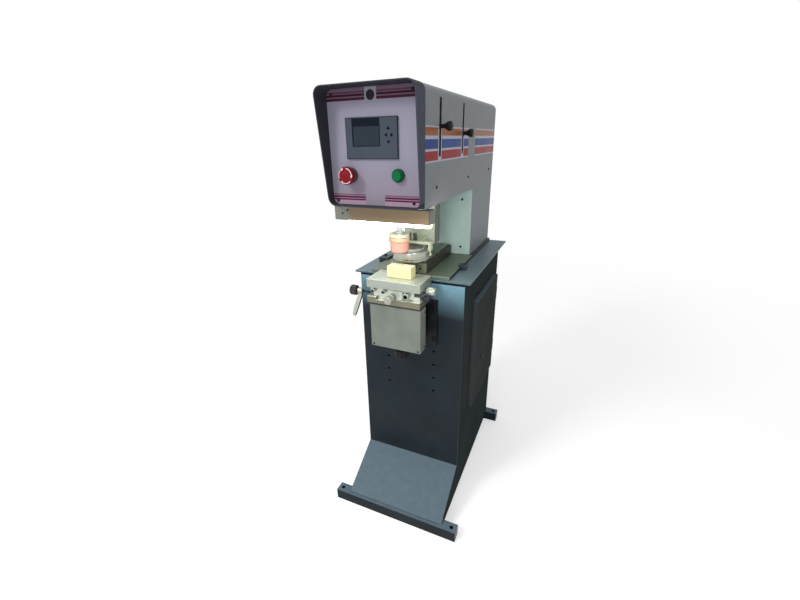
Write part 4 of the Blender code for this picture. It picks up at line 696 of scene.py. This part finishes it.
# Bridge and arm: the arm hangs from the carriage, and the bridge on it reaches over the cup and
# drives it with two ball pins. Both have a thin pale paint. Two knurled screws hold the bridge.
BRIDGE_EDGE = 0.0008
BRIDGE_SCREW = [(0.0, 0.0), (0.006, 0.0), (0.006, 0.005), (0.0042, 0.0056), (0.0042, 0.007),
                (0.0052, 0.0078), (0.006, 0.0086), (0.006, 0.0186), (0.0052, 0.02), (0.0016, 0.02),
                (0.0016, 0.0188), (0.0, 0.0188)]
BRIDGE_SCREW_FEET = (("bridge_screw_left", (-0.011, -0.126, 0.9028)),
                     ("bridge_screw_right", (0.007, -0.126, 0.9028)))
BRIDGE_SCREW_GRIP = dict(count=20, steps=4, beyond=0.0056, depth=0.0005, low=0.0084, high=0.0188)


def thin_paint(name, colour, flank_shade=1.0):
    """Satin machine paint over metal, darker where it is rubbed, with painted shade on its sides along X."""
    coat = Finish(name, gloss=0.4)
    rub = coat.noise(30.0, detail=5.0)
    tone = coat.mix(coat.ramp(rub, 0.35, 0.7), tint(colour), tint(colour, 0.9))
    # Painted shade: faces along X are darker.
    return coat.feed({
        "Base Color": coat.mix(abs(coat.facing("X")) > SQUARE_ON, tone, tint(colour, flank_shade)),
        "Roughness": coat.ramp(rub, 0.3, 0.7, 0.3, 0.48),
        "Normal": coat.bump(coat.noise(500.0, (1.0, 0.1, 1.0), detail=2.0) * 0.00001),
    })


finish_node("cup_bridge", thin_paint("bridge_paint", (206, 214, 186)), BRIDGE_EDGE)
# The arm's sides are at half tone, as painted shade.
finish_node("carriage_arm", thin_paint("arm_paint", (200, 210, 188), 0.5), BRIDGE_EDGE)
knurled_steel = plated("knurled_steel", (84, 86, 80), 0.25)
for screw, foot in BRIDGE_SCREW_FEET:
    stand_in(screw + "_knurled", gripped(BRIDGE_SCREW, foot, "Z", **BRIDGE_SCREW_GRIP), screw, knurled_steel)


# Carriage and its drive inside the head: an aluminium block on two ground rods, pushed by a
# cylinder behind, with the pad's cylinder standing on it. All sit in the welded frame.
ALONG_TUBE = (1.0, 0.05, 1.0)


def wear(material, *nodes):
    """Give CAD nodes that stay as they are their finish."""
    for node in nodes:
        for slot in frame["nodes"][node].material_slots:
            slot.material = material


wear(milled("block_aluminium", (190, 194, 190), ALONG_Y), "carriage")
wear(plated("anodised_tube", (184, 187, 190), 0.3, 0.9, ALONG_TUBE), "pad_cylinder", "travel_cylinder")
wear(plated("ground_rod", (200, 201, 200), 0.12, 1.0, ALONG_Y), "left_guide_rod", "right_guide_rod")
wear(cast_paint("frame_primer", (92, 96, 100)), "main_frame")


# Pad: a soft pink silicone drum with a rounded tip, moulded on a two-step holder, wood below
# and pale metal above, which screws on the chromed rod. A dark line runs round the holder at each step,
# painted shade.
PAD_FOOT = (-0.005, -0.208, 0.0)
PAD_LOW = 0.8845
PAD_SIDE = 0.8925
PAD_RADIUS = 0.0252
PAD_TOP = 0.9175
PAD_DRUM = [(0.0254, 0.902), (0.0257, 0.9168), (0.0252, PAD_TOP), (0.0, PAD_TOP)]
PAD_STEPS = 72
DOME_POINTS = 9
PINK = (211, 151, 136)
PINK_DEEP = (198, 133, 117)
INK_REACH = 0.012
HOLDER_STEP = 0.9296
SKIRT_TOP = 0.92
STEP_SHADES = ((0.9297, 0.0009, (150, 136, 102)), (0.92, 0.0012, (186, 146, 118)))
WOOD = (202, 182, 150)
WOOD_DARK = (186, 160, 126)
CAP = (200, 199, 176)
CAP_DARK = (186, 185, 162)
HOLDER = [(0.0, 0.9178), (0.0272, 0.9178), (0.0282, 0.9188), (0.0283, 0.9278), (0.0278, 0.9288),
          (0.0266, 0.9292), (0.0266, 0.93), (0.0271, 0.9306), (0.027, 0.9368), (0.0262, 0.9382),
          (0.025, 0.9385), (0.0, 0.9385)]
ROD = [(0.0, 0.9388), (0.0104, 0.9388), (0.011, 0.9394), (0.011, 0.944), (0.0104, 0.9448),
       (0.007, 0.9458), (0.007, 1.1808), (0.0136, 1.1808), (0.0136, 1.1948), (0.0, 1.1948)]
ROD_STEPS = 40
ROD_EDGE = 0.0002

dome = [(PAD_RADIUS * math.sin(angle), PAD_SIDE - (PAD_SIDE - PAD_LOW) * math.cos(angle))
        for angle in [math.pi / 2 * step / (DOME_POINTS - 1) for step in range(DOME_POINTS)]]
silicone = Finish("pink_silicone", gloss=0.45)
bloom = silicone.noise(55.0, detail=4.0)
inked = silicone.ramp(silicone.along("Z"), PAD_LOW + INK_REACH, PAD_LOW) * silicone.ramp(bloom, 0.4, 0.65)
deep = inked * 0.35 + silicone.ramp(bloom, 0.5, 0.8) * 0.2
silicone.feed({
    "Base Color": silicone.mix(deep, tint(PINK), tint(PINK_DEEP)),
    "Roughness": silicone.ramp(bloom, 0.3, 0.7, 0.34, 0.5),
    "Normal": silicone.bump(silicone.noise(160.0, detail=2.0) * 0.00008),
})
stand_in("pad_moulded", spun(dome + PAD_DRUM, PAD_STEPS, PAD_FOOT), "pad", silicone.material)

stacked = Finish("pad_holder_wood", gloss=0.4)
level = stacked.along("Z")
years = stacked.noise(220.0, (1.0, 0.08, 1.0))
wood = stacked.mix(stacked.ramp(years, 0.35, 0.65), tint(WOOD), tint(WOOD_DARK))
wood = stacked.mix(level > SKIRT_TOP, tint(PINK), wood)
cap = stacked.mix(stacked.noise(60.0), tint(CAP), tint(CAP_DARK))
holder_tone = stacked.mix(level > HOLDER_STEP, wood, cap)
# Painted shade: a dark line at each step of the holder.
for seam, half, shade in STEP_SHADES:
    holder_tone = stacked.mix(abs(level - seam) < half, holder_tone, tint(shade))
stacked.feed({
    "Base Color": holder_tone,
    "Roughness": stacked.ramp(years, 0.3, 0.7, 0.3, 0.45),
    "Normal": stacked.bump(years * 0.00003),
})
stand_in("pad_holder_turned", spun(HOLDER, PAD_STEPS, PAD_FOOT), "pad_holder", stacked.material)
stand_in("pad_rod_chromed", ease(spun(ROD, ROD_STEPS, PAD_FOOT), ROD_EDGE), "pad_rod",
         polished("rod_chrome", (226, 228, 228), PAD_FOOT, 0.08))


# Head casing: sheet steel folded over the frame, powder-coated grey, with a printed film of
# orange, blue and red stripes on its sides. The stroke stops slide in two slots in its right
# side, round which the coat is painted dark, as painted shade.
CASING_EDGE = 0.0008
HEAD_X = -0.0055
HEAD_HALF = 0.1183
SIDE_AT = 0.1175
HEAD_GREY = (142, 147, 150)
FILM = (190, 190, 204)
FILM_Z = (1.1225, 1.1985)
STRIPES = (((1.1785, 1.195), (160, 99, 62)), ((1.151, 1.1712), (8, 62, 138)),
           ((1.1262, 1.1462), (154, 12, 30)))
SLOT_SPANS = ((-0.2385, -0.2238), (-0.0492, -0.0353))
SLOT_MARGIN = 0.005
SLOT_Z = (1.133, 1.258)
SLOT_SHADE_TONE = (16, 17, 19)
JOINT_Y = (0.0203, 0.0942)
SIDE_SCREW_YZ = ((-0.251, 1.066), (0.032, 1.066), (0.304, 1.07))
SIDE_SCREWS = {"X": [(HEAD_X + HEAD_HALF, y, z) for y, z in SIDE_SCREW_YZ],
               "-X": [(HEAD_X - HEAD_HALF, y, z) for y, z in SIDE_SCREW_YZ]}
SIDE_SCREW_SIZE = (0.0038, 0.0022, 0.0006)
COLUMN_SCREWS = {"-Y": [(x, 0.1, z) for x in (-0.09, 0.079) for z in (0.835, 0.99)]}
COLUMN_SCREW_SIZE = (0.0038, 0.002, 0.0005)
REAR_SCREWS = {"Y": [(HEAD_X + x, 0.363, z) for x in (-0.102, 0.102) for z in (0.835, 1.03, 1.24)]}
REAR_SCREW_SIZE = (0.0038, 0.0018, 0.0005)


def head_coat(name, striped=False):
    """Grey powder coat of the head, with the striped film on its sides where striped is true, and painted
    shade round the right side's slots.
    """
    coat = Finish(name, gloss=0.04)
    mottle = coat.ramp(coat.noise(14.0, detail=5.0), 0.3, 0.7)
    colour = coat.mix(mottle, tint(HEAD_GREY, step=-6), tint(HEAD_GREY, step=5))
    rough = 0.36 + mottle * 0.12
    height = coat.noise(420.0, detail=2.0) * 0.00002
    if striped:
        x, y, z = coat.axes()
        film = (abs(x - HEAD_X) > SIDE_AT) * coat.band(z, *FILM_Z) * (1 - coat.band(y, *JOINT_Y))
        striping = film
        slotted = x > HEAD_X
        for near, far in SLOT_SPANS:
            striping = striping * (1 - slotted * coat.band(y, near - SLOT_MARGIN, far + SLOT_MARGIN))
        scuff = coat.ramp(coat.noise(120.0, detail=6.0), 0.6, 0.8)
        colour = coat.mix(film, colour, tint(FILM))
        for (low, high), shade in STRIPES:
            printed = coat.mix(scuff * 0.08, tint(shade), tint(FILM))
            colour = coat.mix(striping * coat.band(z, low, high), colour, printed)
        # Painted shade: the coat round each slot is dark.
        for near, far in SLOT_SPANS:
            slot_shade = slotted * coat.band(y, near, far) * coat.band(z, *SLOT_Z)
            colour = coat.mix(slot_shade, colour, tint(SLOT_SHADE_TONE))
        rough = rough - film * 0.12
        height = height + film * 0.0001
    return coat.feed({"Base Color": colour, "Roughness": rough, "Normal": coat.bump(height)})


finish_node("casing", head_coat("head_coat_striped", True), CASING_EDGE)
# The column's front and the head's underside are written paler and greener than the head's grey, as painted
# light from the lamp.
finish_node("casing_underside", powder_coat("lit_column_coat", (184, 208, 202)), CASING_EDGE)
finish_node("casing_rear", head_coat("head_coat"), CASING_EDGE)
screws("casing_side_screws", "casing", SIDE_SCREWS, SIDE_SCREW_SIZE, black_oxide)
screws("column_screws", "casing_underside", COLUMN_SCREWS, COLUMN_SCREW_SIZE, black_oxide)
screws("casing_rear_screws", "casing_rear", REAR_SCREWS, REAR_SCREW_SIZE, zinc)


# Visor: a deep folded frame round the control panel, sprayed a satin slate grey, written darker
# inside than outside as painted shade. It is slanted at its front so that it shades the panel from above.
VISOR_EDGE = 0.0011
VISOR_FRONT = -0.345
VISOR_OUTSIDE = 0.1178
VISOR_SHADE_AND_LIT_TONES = ((62, 65, 72), (82, 86, 98))

visor_coat = Finish("visor_coat", gloss=0.03)
mottle = visor_coat.ramp(visor_coat.noise(18.0, detail=5.0), 0.3, 0.7)
inner, outer = [visor_coat.mix(mottle, tint(tone, step=-5), tint(tone)) for tone in VISOR_SHADE_AND_LIT_TONES]
# Painted shade: the inside faces take the darker tone.
outside = abs(visor_coat.along("X") - HEAD_X) > VISOR_OUTSIDE
visor_coat.feed({
    "Base Color": visor_coat.mix(outside, inner, outer),
    "Roughness": 0.44 + mottle * 0.13,
    "Normal": visor_coat.bump(visor_coat.noise(420.0, detail=2.0) * 0.00002),
})
finish_node("visor", visor_coat.material, VISOR_EDGE, before=VISOR_FRONT)


# Control panel: a 3 mm plate with a lavender-grey printed film. Plum lines run along its top, on
# a dark mauve field, and along its bottom. They stop short of the middle, where the top has a
# blank dark disc. Four screws hold the panel in the visor.
PANEL_EDGE = 0.0005
PANEL_TONE = (144, 142, 159)
PANEL_LOW_TONE = (133, 124, 137)
PANEL_FADES = (1.14, 1.04)
TOP_GAP = (-0.0243, 0.004)
LOW_GAP = (-0.0325, 0.0173)
TOP_PRINT = (((1.2518, 1.28), (106, 88, 104)), ((1.2524, 1.2574), (66, 24, 46)),
             ((1.26, 1.2645), (54, 18, 38)), ((1.2663, 1.2697), (82, 52, 72)))
LOW_PRINT = (((1.029, 1.0402), (158, 134, 152)), ((1.0402, 1.0543), (138, 106, 126)),
             ((1.052, 1.0543), (112, 72, 96)), ((1.0461, 1.0495), (62, 18, 52)),
             ((1.0402, 1.0437), (84, 32, 58)))
DISC_PLACE = (-0.0105, 1.261)
DISC_RADIUS = 0.0103
DISC_TONE = (38, 31, 44)
PANEL_SCREWS = {"-Y": [(-0.108, -0.333, 1.2646), (0.088, -0.333, 1.2657),
                       (-0.108, -0.333, 1.0385), (0.0894, -0.333, 1.0385)]}
PANEL_SCREW_SIZE = (0.0036, 0.002, 0.0006)

film = Finish("panel_film", gloss=0.08)
x, z = film.axes("XZ")
hue = film.noise(9.0)
colour = film.mix(hue, tint(PANEL_TONE), tint(PANEL_TONE, step=-8))
colour = film.mix(film.ramp(z, *PANEL_FADES), colour, tint(PANEL_LOW_TONE))
for gap, lines in ((TOP_GAP, TOP_PRINT), (LOW_GAP, LOW_PRINT)):
    beside = 1 - film.band(x, *gap)
    for (low, high), shade in lines:
        colour = film.mix(beside * film.band(z, low, high), colour, tint(shade))
away = (x - DISC_PLACE[0]) ** 2.0 + (z - DISC_PLACE[1]) ** 2.0
colour = film.mix(away < DISC_RADIUS ** 2, colour, tint(DISC_TONE))
film.feed({
    "Base Color": colour,
    "Roughness": film.ramp(hue, 0.3, 0.7, 0.32, 0.44),
    "Normal": film.bump(film.noise(600.0, detail=1.0) * 0.000006),
})
finish_node("control_panel", film.material, PANEL_EDGE)
screws("panel_screws", "control_panel", PANEL_SCREWS, PANEL_SCREW_SIZE, black_oxide)


# Text display: a moulded front with a sunk window, four cursor keys marked with triangles and a
# row of function keys, all under one blue-grey key film.
HMI_EDGE = 0.0008
HMI_FACE = -0.3375
HMI_TONE = (60, 68, 78)
HMI_RIM = (36, 40, 52)
HMI_MIDDLE = (-0.0099, 1.1752)
HMI_RIM_FROM = (0.0622, 0.0412)
KEY_PROUD = 0.0003
KEY_EDGE = 0.0004
CURSOR_KEYS = ((0.0323, 1.1947, 0), (0.0395, 1.1812, -90), (0.0322, 1.1678, 180), (0.0269, 1.1814, 90))
CURSOR_SIZE = (0.0086, 0.0086)
MARK_RADIUS = 0.0044
MARK_PROUD = 0.0002
FUNCTION_XS = [-0.0476 + 0.0174 * place for place in range(6)]
FUNCTION_Z = 1.1493
FUNCTION_SIZE = (0.01, 0.0046)
WINDOW_EDGE = 0.0002
WINDOW_X = (-0.054, 0.0095)
WINDOW_Z = (1.1598, 1.1996)
WINDOW_FRAME = (20, 25, 34)
CELLS_TO_METRE = 2600.0
CELL_TONES = ((44, 53, 61), (36, 45, 53))


def key(x, z, size):
    """A key's low pillow in the film, with eased edges."""
    pillow = bmesh.new()
    middle = Matrix.Translation((x, HMI_FACE - KEY_PROUD / 2, z))
    stretched = Matrix.Diagonal((size[0], KEY_PROUD, size[1], 1.0))
    bmesh.ops.create_cube(pillow, size=1.0, matrix=middle @ stretched)
    return ease(pillow, KEY_EDGE, 3)


def triangle(x, z, turn):
    """A printed triangle, raised a hair, that points up before it is turned."""
    mark = bmesh.new()
    bmesh.ops.create_circle(mark, cap_ends=True, segments=3, radius=MARK_RADIUS,
                            matrix=Matrix.Rotation(math.radians(turn), 4, "Z"))
    grown = bmesh.ops.extrude_face_region(mark, geom=mark.faces[:])["geom"]
    lifted = [item for item in grown if isinstance(item, bmesh.types.BMVert)]
    bmesh.ops.translate(mark, verts=lifted, vec=(0, 0, MARK_PROUD))
    return set_at(mark, (x, HMI_FACE - KEY_PROUD, z), "-Y")


housing = Finish("display_front", gloss=0.1)
x, z = housing.axes("XZ")
rim = (abs(x - HMI_MIDDLE[0]) > HMI_RIM_FROM[0]) | (abs(z - HMI_MIDDLE[1]) > HMI_RIM_FROM[1])
flow = housing.noise(40.0)
front_tone = housing.mix(flow, tint(HMI_TONE), tint(HMI_TONE, step=8))
housing.feed({
    "Base Color": housing.mix(rim, front_tone, tint(HMI_RIM)),
    "Roughness": housing.ramp(flow, 0.3, 0.7, 0.38, 0.52),
    "Normal": housing.bump(housing.noise(800.0, detail=2.0) * 0.000012),
})
finish_node("hmi_housing", housing.material, HMI_EDGE)
keys = [key(x, z, CURSOR_SIZE) for x, z, _ in CURSOR_KEYS]
keys += [key(x, FUNCTION_Z, FUNCTION_SIZE) for x in FUNCTION_XS]
piece("hmi_keys", gather(*keys), "hmi_housing", moulded("key_film", (61, 69, 79), 0.5, 0.05))
marks = [triangle(*place) for place in CURSOR_KEYS]
piece("hmi_key_marks", gather(*marks), "hmi_housing", moulded("key_print", (4, 5, 8), 0.6, 0.0))

glass = Finish("display_window", gloss=0.06)
x, z = glass.axes("XZ")
lit = glass.band(x, *WINDOW_X) * glass.band(z, *WINDOW_Z)
cells = glass.node("TexChecker", {"Vector": glass.place, "Scale": CELLS_TO_METRE}, output="Fac")
glass.feed({
    "Base Color": glass.mix(lit, tint(WINDOW_FRAME), glass.mix(cells * 0.25, *map(tint, CELL_TONES))),
    "Roughness": 0.1 + lit * 0.14 + glass.noise(30.0, detail=4.0) * 0.08,
    "Normal": glass.bump(cells * lit * 0.000002),
})
finish_node("hmi_screen", glass.material, WINDOW_EDGE)


# Emergency stop: a glossy red mushroom with a printed pale ring of arrows, on a red stem in a
# dull red-grey collar that is screwed to the panel. It latches when pushed.
STOP_FOOT = (-0.0678, -0.333, 1.0973)
STOP = [(0.0, -0.012), (0.009, -0.012), (0.009, 0.008), (0.0125, 0.0085), (0.0125, 0.0165),
        (0.018, 0.0172), (0.0195, 0.0184), (0.02, 0.02), (0.02, 0.0252), (0.0196, 0.0268),
        (0.0185, 0.0282), (0.016, 0.0291), (0.011, 0.0295), (0.0095, 0.0291), (0.0088, 0.0295),
        (0.007, 0.03), (0.0, 0.0302)]
STOP_STEPS = 72
STOP_REDS = ((124, 16, 30), (108, 12, 26))
STOP_FACE = -0.027
STOP_PRINT = (214, 196, 198)
RING_RADII = (0.0156, 0.0175)
ARROWS = 3
ARROW_TURN = 0.65
ARROW_SPAN = (0.62, 0.8)
ARROW_RADIUS = 0.0161
ARROW_SLOPE = 0.016
COLLAR = [(0.0136, 0.0003), (0.017, 0.0003), (0.017, 0.0062), (0.0158, 0.0088), (0.0146, 0.0095),
          (0.0136, 0.0095), (0.0136, 0.0003)]
BUTTON_STEPS = 64

stop_red = Finish("stop_red", gloss=0.15)
spot = stop_red.node("VectorMath", {0: stop_red.place, 1: STOP_FOOT}, operation="SUBTRACT")
x, y, z = stop_red.axes(vector=spot)
radius = (x * x + z * z) ** 0.5
turn = stop_red.node("Math", {0: z, 1: x}, operation="ARCTAN2") * (-ARROWS / math.tau) + ARROW_TURN
sector = stop_red.node("Math", {0: turn, 1: 1.0}, operation="FLOORED_MODULO")
tail, tip = ARROW_SPAN
ring = stop_red.band(radius, *RING_RADII) * (sector < tail)
point = stop_red.band(sector, tail, tip) * (abs(radius - ARROW_RADIUS) < (tip - sector) * ARROW_SLOPE)
flow = stop_red.noise(60.0)
reds = stop_red.mix(flow, *map(tint, STOP_REDS))
stop_red.feed({
    "Base Color": stop_red.mix((ring | point) * (y < STOP_FACE), reds, tint(STOP_PRINT)),
    "Roughness": stop_red.ramp(flow, 0.3, 0.7, 0.24, 0.36),
    "Normal": stop_red.bump(stop_red.noise(900.0, detail=1.0) * 0.000006),
})
stand_in("estop_mushroom", spun(STOP, STOP_STEPS, STOP_FOOT, "-Y"), "estop_button", stop_red.material)
piece("estop_collar", spun(COLLAR, BUTTON_STEPS, STOP_FOOT, "-Y"), "estop_button",
      moulded("collar_grey", (92, 60, 62), 0.38), "base")


# Start button: a green cap with a shallow dish, which springs back after a push. It sits in a
# darker green bezel with a knurled edge, screwed on from the front.
START_FOOT = (0.0529, -0.333, 1.0978)
START = [(0.0, -0.006), (0.0108, -0.006), (0.0108, 0.0112), (0.0104, 0.0121), (0.0096, 0.0125),
         (0.0088, 0.0123), (0.006, 0.0118), (0.0, 0.0116)]
BEZEL = [(0.0114, 0.0003), (0.0148, 0.0003), (0.0148, 0.006), (0.014, 0.0078), (0.0126, 0.0085),
         (0.0114, 0.0085), (0.0114, 0.0003)]
BEZEL_GRIP = dict(count=24, steps=4, beyond=0.0145, depth=0.0006, low=0.0, high=0.0065)

stand_in("start_cap", spun(START, BUTTON_STEPS, START_FOOT, "-Y"), "start_button",
         moulded("start_green", (1, 92, 50), 0.34, 0.1))
piece("start_bezel", gripped(BEZEL, START_FOOT, "-Y", **BEZEL_GRIP), "start_button",
      moulded("bezel_green", (3, 72, 44), 0.4, 0.1), "base")


# Lamp: a bare aluminium channel under the head with a brown paper film on its front, a folded
# end plate on the left and an opal cover below, which glows and fades at its two ends.
LAMP_EDGE = 0.0006
LAMP_FACE = -0.318
FACE_DEEP = 0.0004
PAPER_X = (-0.09, 0.119)
PAPER_Z = (0.9892, 1.0195)
PAPER_TONES = ((136, 116, 88), (120, 101, 75))
SHEET_TONES = ((122, 125, 115), (106, 108, 99))
BARE_END = (66, 68, 62)
LAMP_SCREWS = {"-Y": [(-0.109, LAMP_FACE, 1.0045), (-0.0945, LAMP_FACE, 1.013)]}
LAMP_SCREW_SIZE = (0.0024, 0.0012, 0.0004)
OPAL = (244, 243, 236)
GLOW_TONES = ((255, 252, 240), (190, 182, 160))
GLOW_X = 0.0095
GLOW_FADES = (0.095, 0.108)
GLOW_LEVEL = 14.0

channel = Finish("lamp_channel_sheet")
x, y, z = channel.axes()
on_front = (y < LAMP_FACE + FACE_DEEP) * channel.band(x, *PAPER_X) * channel.band(z, *PAPER_Z)
cloud = channel.noise(30.0, detail=5.0)
fibre = channel.noise(300.0, (0.15, 1.0, 1.0))
paper = channel.mix(fibre, *map(tint, PAPER_TONES))
sheet = channel.mix(x > PAPER_X[1], channel.mix(cloud, *map(tint, SHEET_TONES)), tint(BARE_END))
channel.feed({
    "Base Color": channel.mix(on_front, sheet, paper),
    "Metallic": 0.3 - on_front * 0.3,
    "Roughness": 0.32 + cloud * 0.1 + on_front * 0.25,
    "Normal": channel.bump(fibre * 0.00002 + on_front * 0.00015),
})
finish_node("lamp_channel", channel.material, LAMP_EDGE)
screws("lamp_screws", "lamp_channel", LAMP_SCREWS, LAMP_SCREW_SIZE, black_oxide)
opal = Finish("opal_cover")
dimmed = opal.ramp(abs(opal.along("X") - GLOW_X), *GLOW_FADES)
opal.feed({
    "Base Color": tint(OPAL),
    "Roughness": 0.35 + opal.noise(80.0) * 0.1,
    "Emission Color": opal.mix(dimmed, *map(tint, GLOW_TONES)),
    "Emission Strength": GLOW_LEVEL,
})
finish_node("lamp_diffuser", opal.material, LAMP_EDGE)


# Stroke stops: a steel block slides behind each slot, and a flared black knob outside clamps
# it. The knobs are moulded plastic with broad grip flutes.
STOP_KNOB = [(0.0, -0.0215), (0.003, -0.0215), (0.003, 0.0), (0.007, 0.0), (0.007, 0.0015),
             (0.0046, 0.0022), (0.0044, 0.005), (0.0046, 0.0085), (0.0064, 0.0122), (0.0084, 0.015),
             (0.0098, 0.0176), (0.0103, 0.02), (0.0102, 0.024), (0.0096, 0.0262), (0.0078, 0.0276),
             (0.005, 0.0279), (0.0046, 0.0274), (0.0, 0.0274)]
STOP_KNOBS = (("front_stop_knob", (0.1132, -0.229, 1.1982)), ("rear_stop_knob", (0.1132, -0.0405, 1.1847)))
STOP_GRIP = dict(count=8, steps=10, beyond=0.008, depth=0.0011, low=0.013, high=0.0272)

wear(milled("machined_block", (132, 132, 128), ALONG_X, 0.35), "front_stop", "rear_stop")
for knob, foot in STOP_KNOBS:
    stand_in(knob + "_turned", gripped(STOP_KNOB, foot, "X", **STOP_GRIP), knob, black_plastic)


# Studio: a pale floor that runs out to a white background, which metal and glass mirror too.
# Three large soft lamps light the machine, from the upper left, low from the front and from
# overhead. A small one lights the work on the cross table.
FLOOR_HALF = 14.0
FLOOR_TONE = (214, 214, 214)
BLACK = (0.0, 0.0, 0.0, 1.0)
LIFT_REACH = (1.5, 5.0)
LIFT_LEVELS = (0.5, 0.68)
ROOM_LEVEL = 0.5
LAMPS = (("key", (-1.6, -2.8, 3.3), (0.0, -0.1, 0.9), 0.9, 68.0),
         ("low_fill", (0.35, -3.1, 1.15), (0.0, 0.0, 0.85), 1.0, 24.0),
         ("bench", (0.2, -0.36, 0.96), (0.05, -0.24, 0.75), 0.1, 0.28),
         ("overhead", (-0.7, -0.9, 3.1), (0.0, 0.0, 0.5), 1.8, 18.0))

ground = bmesh.new()
bmesh.ops.create_grid(ground, x_segments=1, y_segments=1, size=FLOOR_HALF)
ground_mesh = mesh_of("floor", ground)
floor = show("floor", ground_mesh)
stone = Finish("studio_floor", gloss=0.0)
seen = stone.node("LightPath", output="Is Camera Ray") | stone.node("LightPath", output="Is Glossy Ray")
distance = stone.node("VectorMath", {0: stone.place}, output="Value", operation="LENGTH")
stone.feed({
    "Base Color": tint(FLOOR_TONE),
    "Roughness": 0.9,
    "Emission Color": stone.mix(seen * stone.ramp(distance, *LIFT_REACH, *LIFT_LEVELS), BLACK, WHITE),
    "Emission Strength": 1.0,
})
ground_mesh.materials.append(stone.material)

world = bpy.data.worlds.new("studio")
bpy.context.scene.world = world
world.use_nodes = True
sky = Graph(world.node_tree)
sky.tree.nodes.clear()
seen = sky.node("LightPath", output="Is Camera Ray") | sky.node("LightPath", output="Is Glossy Ray")
seen = seen | sky.node("LightPath", output="Is Transmission Ray")
room = sky.node("Background", {"Color": WHITE, "Strength": ROOM_LEVEL})
backdrop = sky.node("Background", {"Color": WHITE, "Strength": 1.0})
output = sky.tree.nodes.new("ShaderNodeOutputWorld")
sky.connect(output.inputs, {"Surface": sky.node("MixShader", {0: seen, 1: room, 2: backdrop})})

for name, place, aim, size, power in LAMPS:
    lamp = bpy.data.lights.new(name, "AREA")
    lamp.size = size
    lamp.energy = power
    holder = show(name, lamp)
    holder.visible_camera = False
    holder.location = place
    holder.rotation_euler = (Vector(aim) - Vector(place)).to_track_quat("-Z", "Y").to_euler()


# Camera: it stands where the photograph was taken from, to the right of the machine's middle
# and above its table, looks down on the cross table and is rolled by a degree.
CAMERA_PLACE = (0.4293, -1.1614, 1.1704)
CAMERA_LENS = 17.71
CAMERA_SENSOR = 36.0
CAMERA_YAW = math.radians(24.607)
CAMERA_PITCH = math.radians(22.101)
CAMERA_ROLL = math.radians(-1.14)

camera_data = bpy.data.cameras.new("camera")
camera_data.lens = CAMERA_LENS
camera_data.sensor_width = CAMERA_SENSOR
camera_data.sensor_fit = "HORIZONTAL"
camera = show("camera", camera_data)
camera.matrix_world = (Matrix.Translation(CAMERA_PLACE) @ Matrix.Rotation(CAMERA_YAW, 4, "Z")
                       @ Matrix.Rotation(math.radians(90) - CAMERA_PITCH, 4, "X")
                       @ Matrix.Rotation(CAMERA_ROLL, 4, "Z"))
bpy.context.scene.camera = camera

bpy.context.scene.view_settings.view_transform = "Standard"
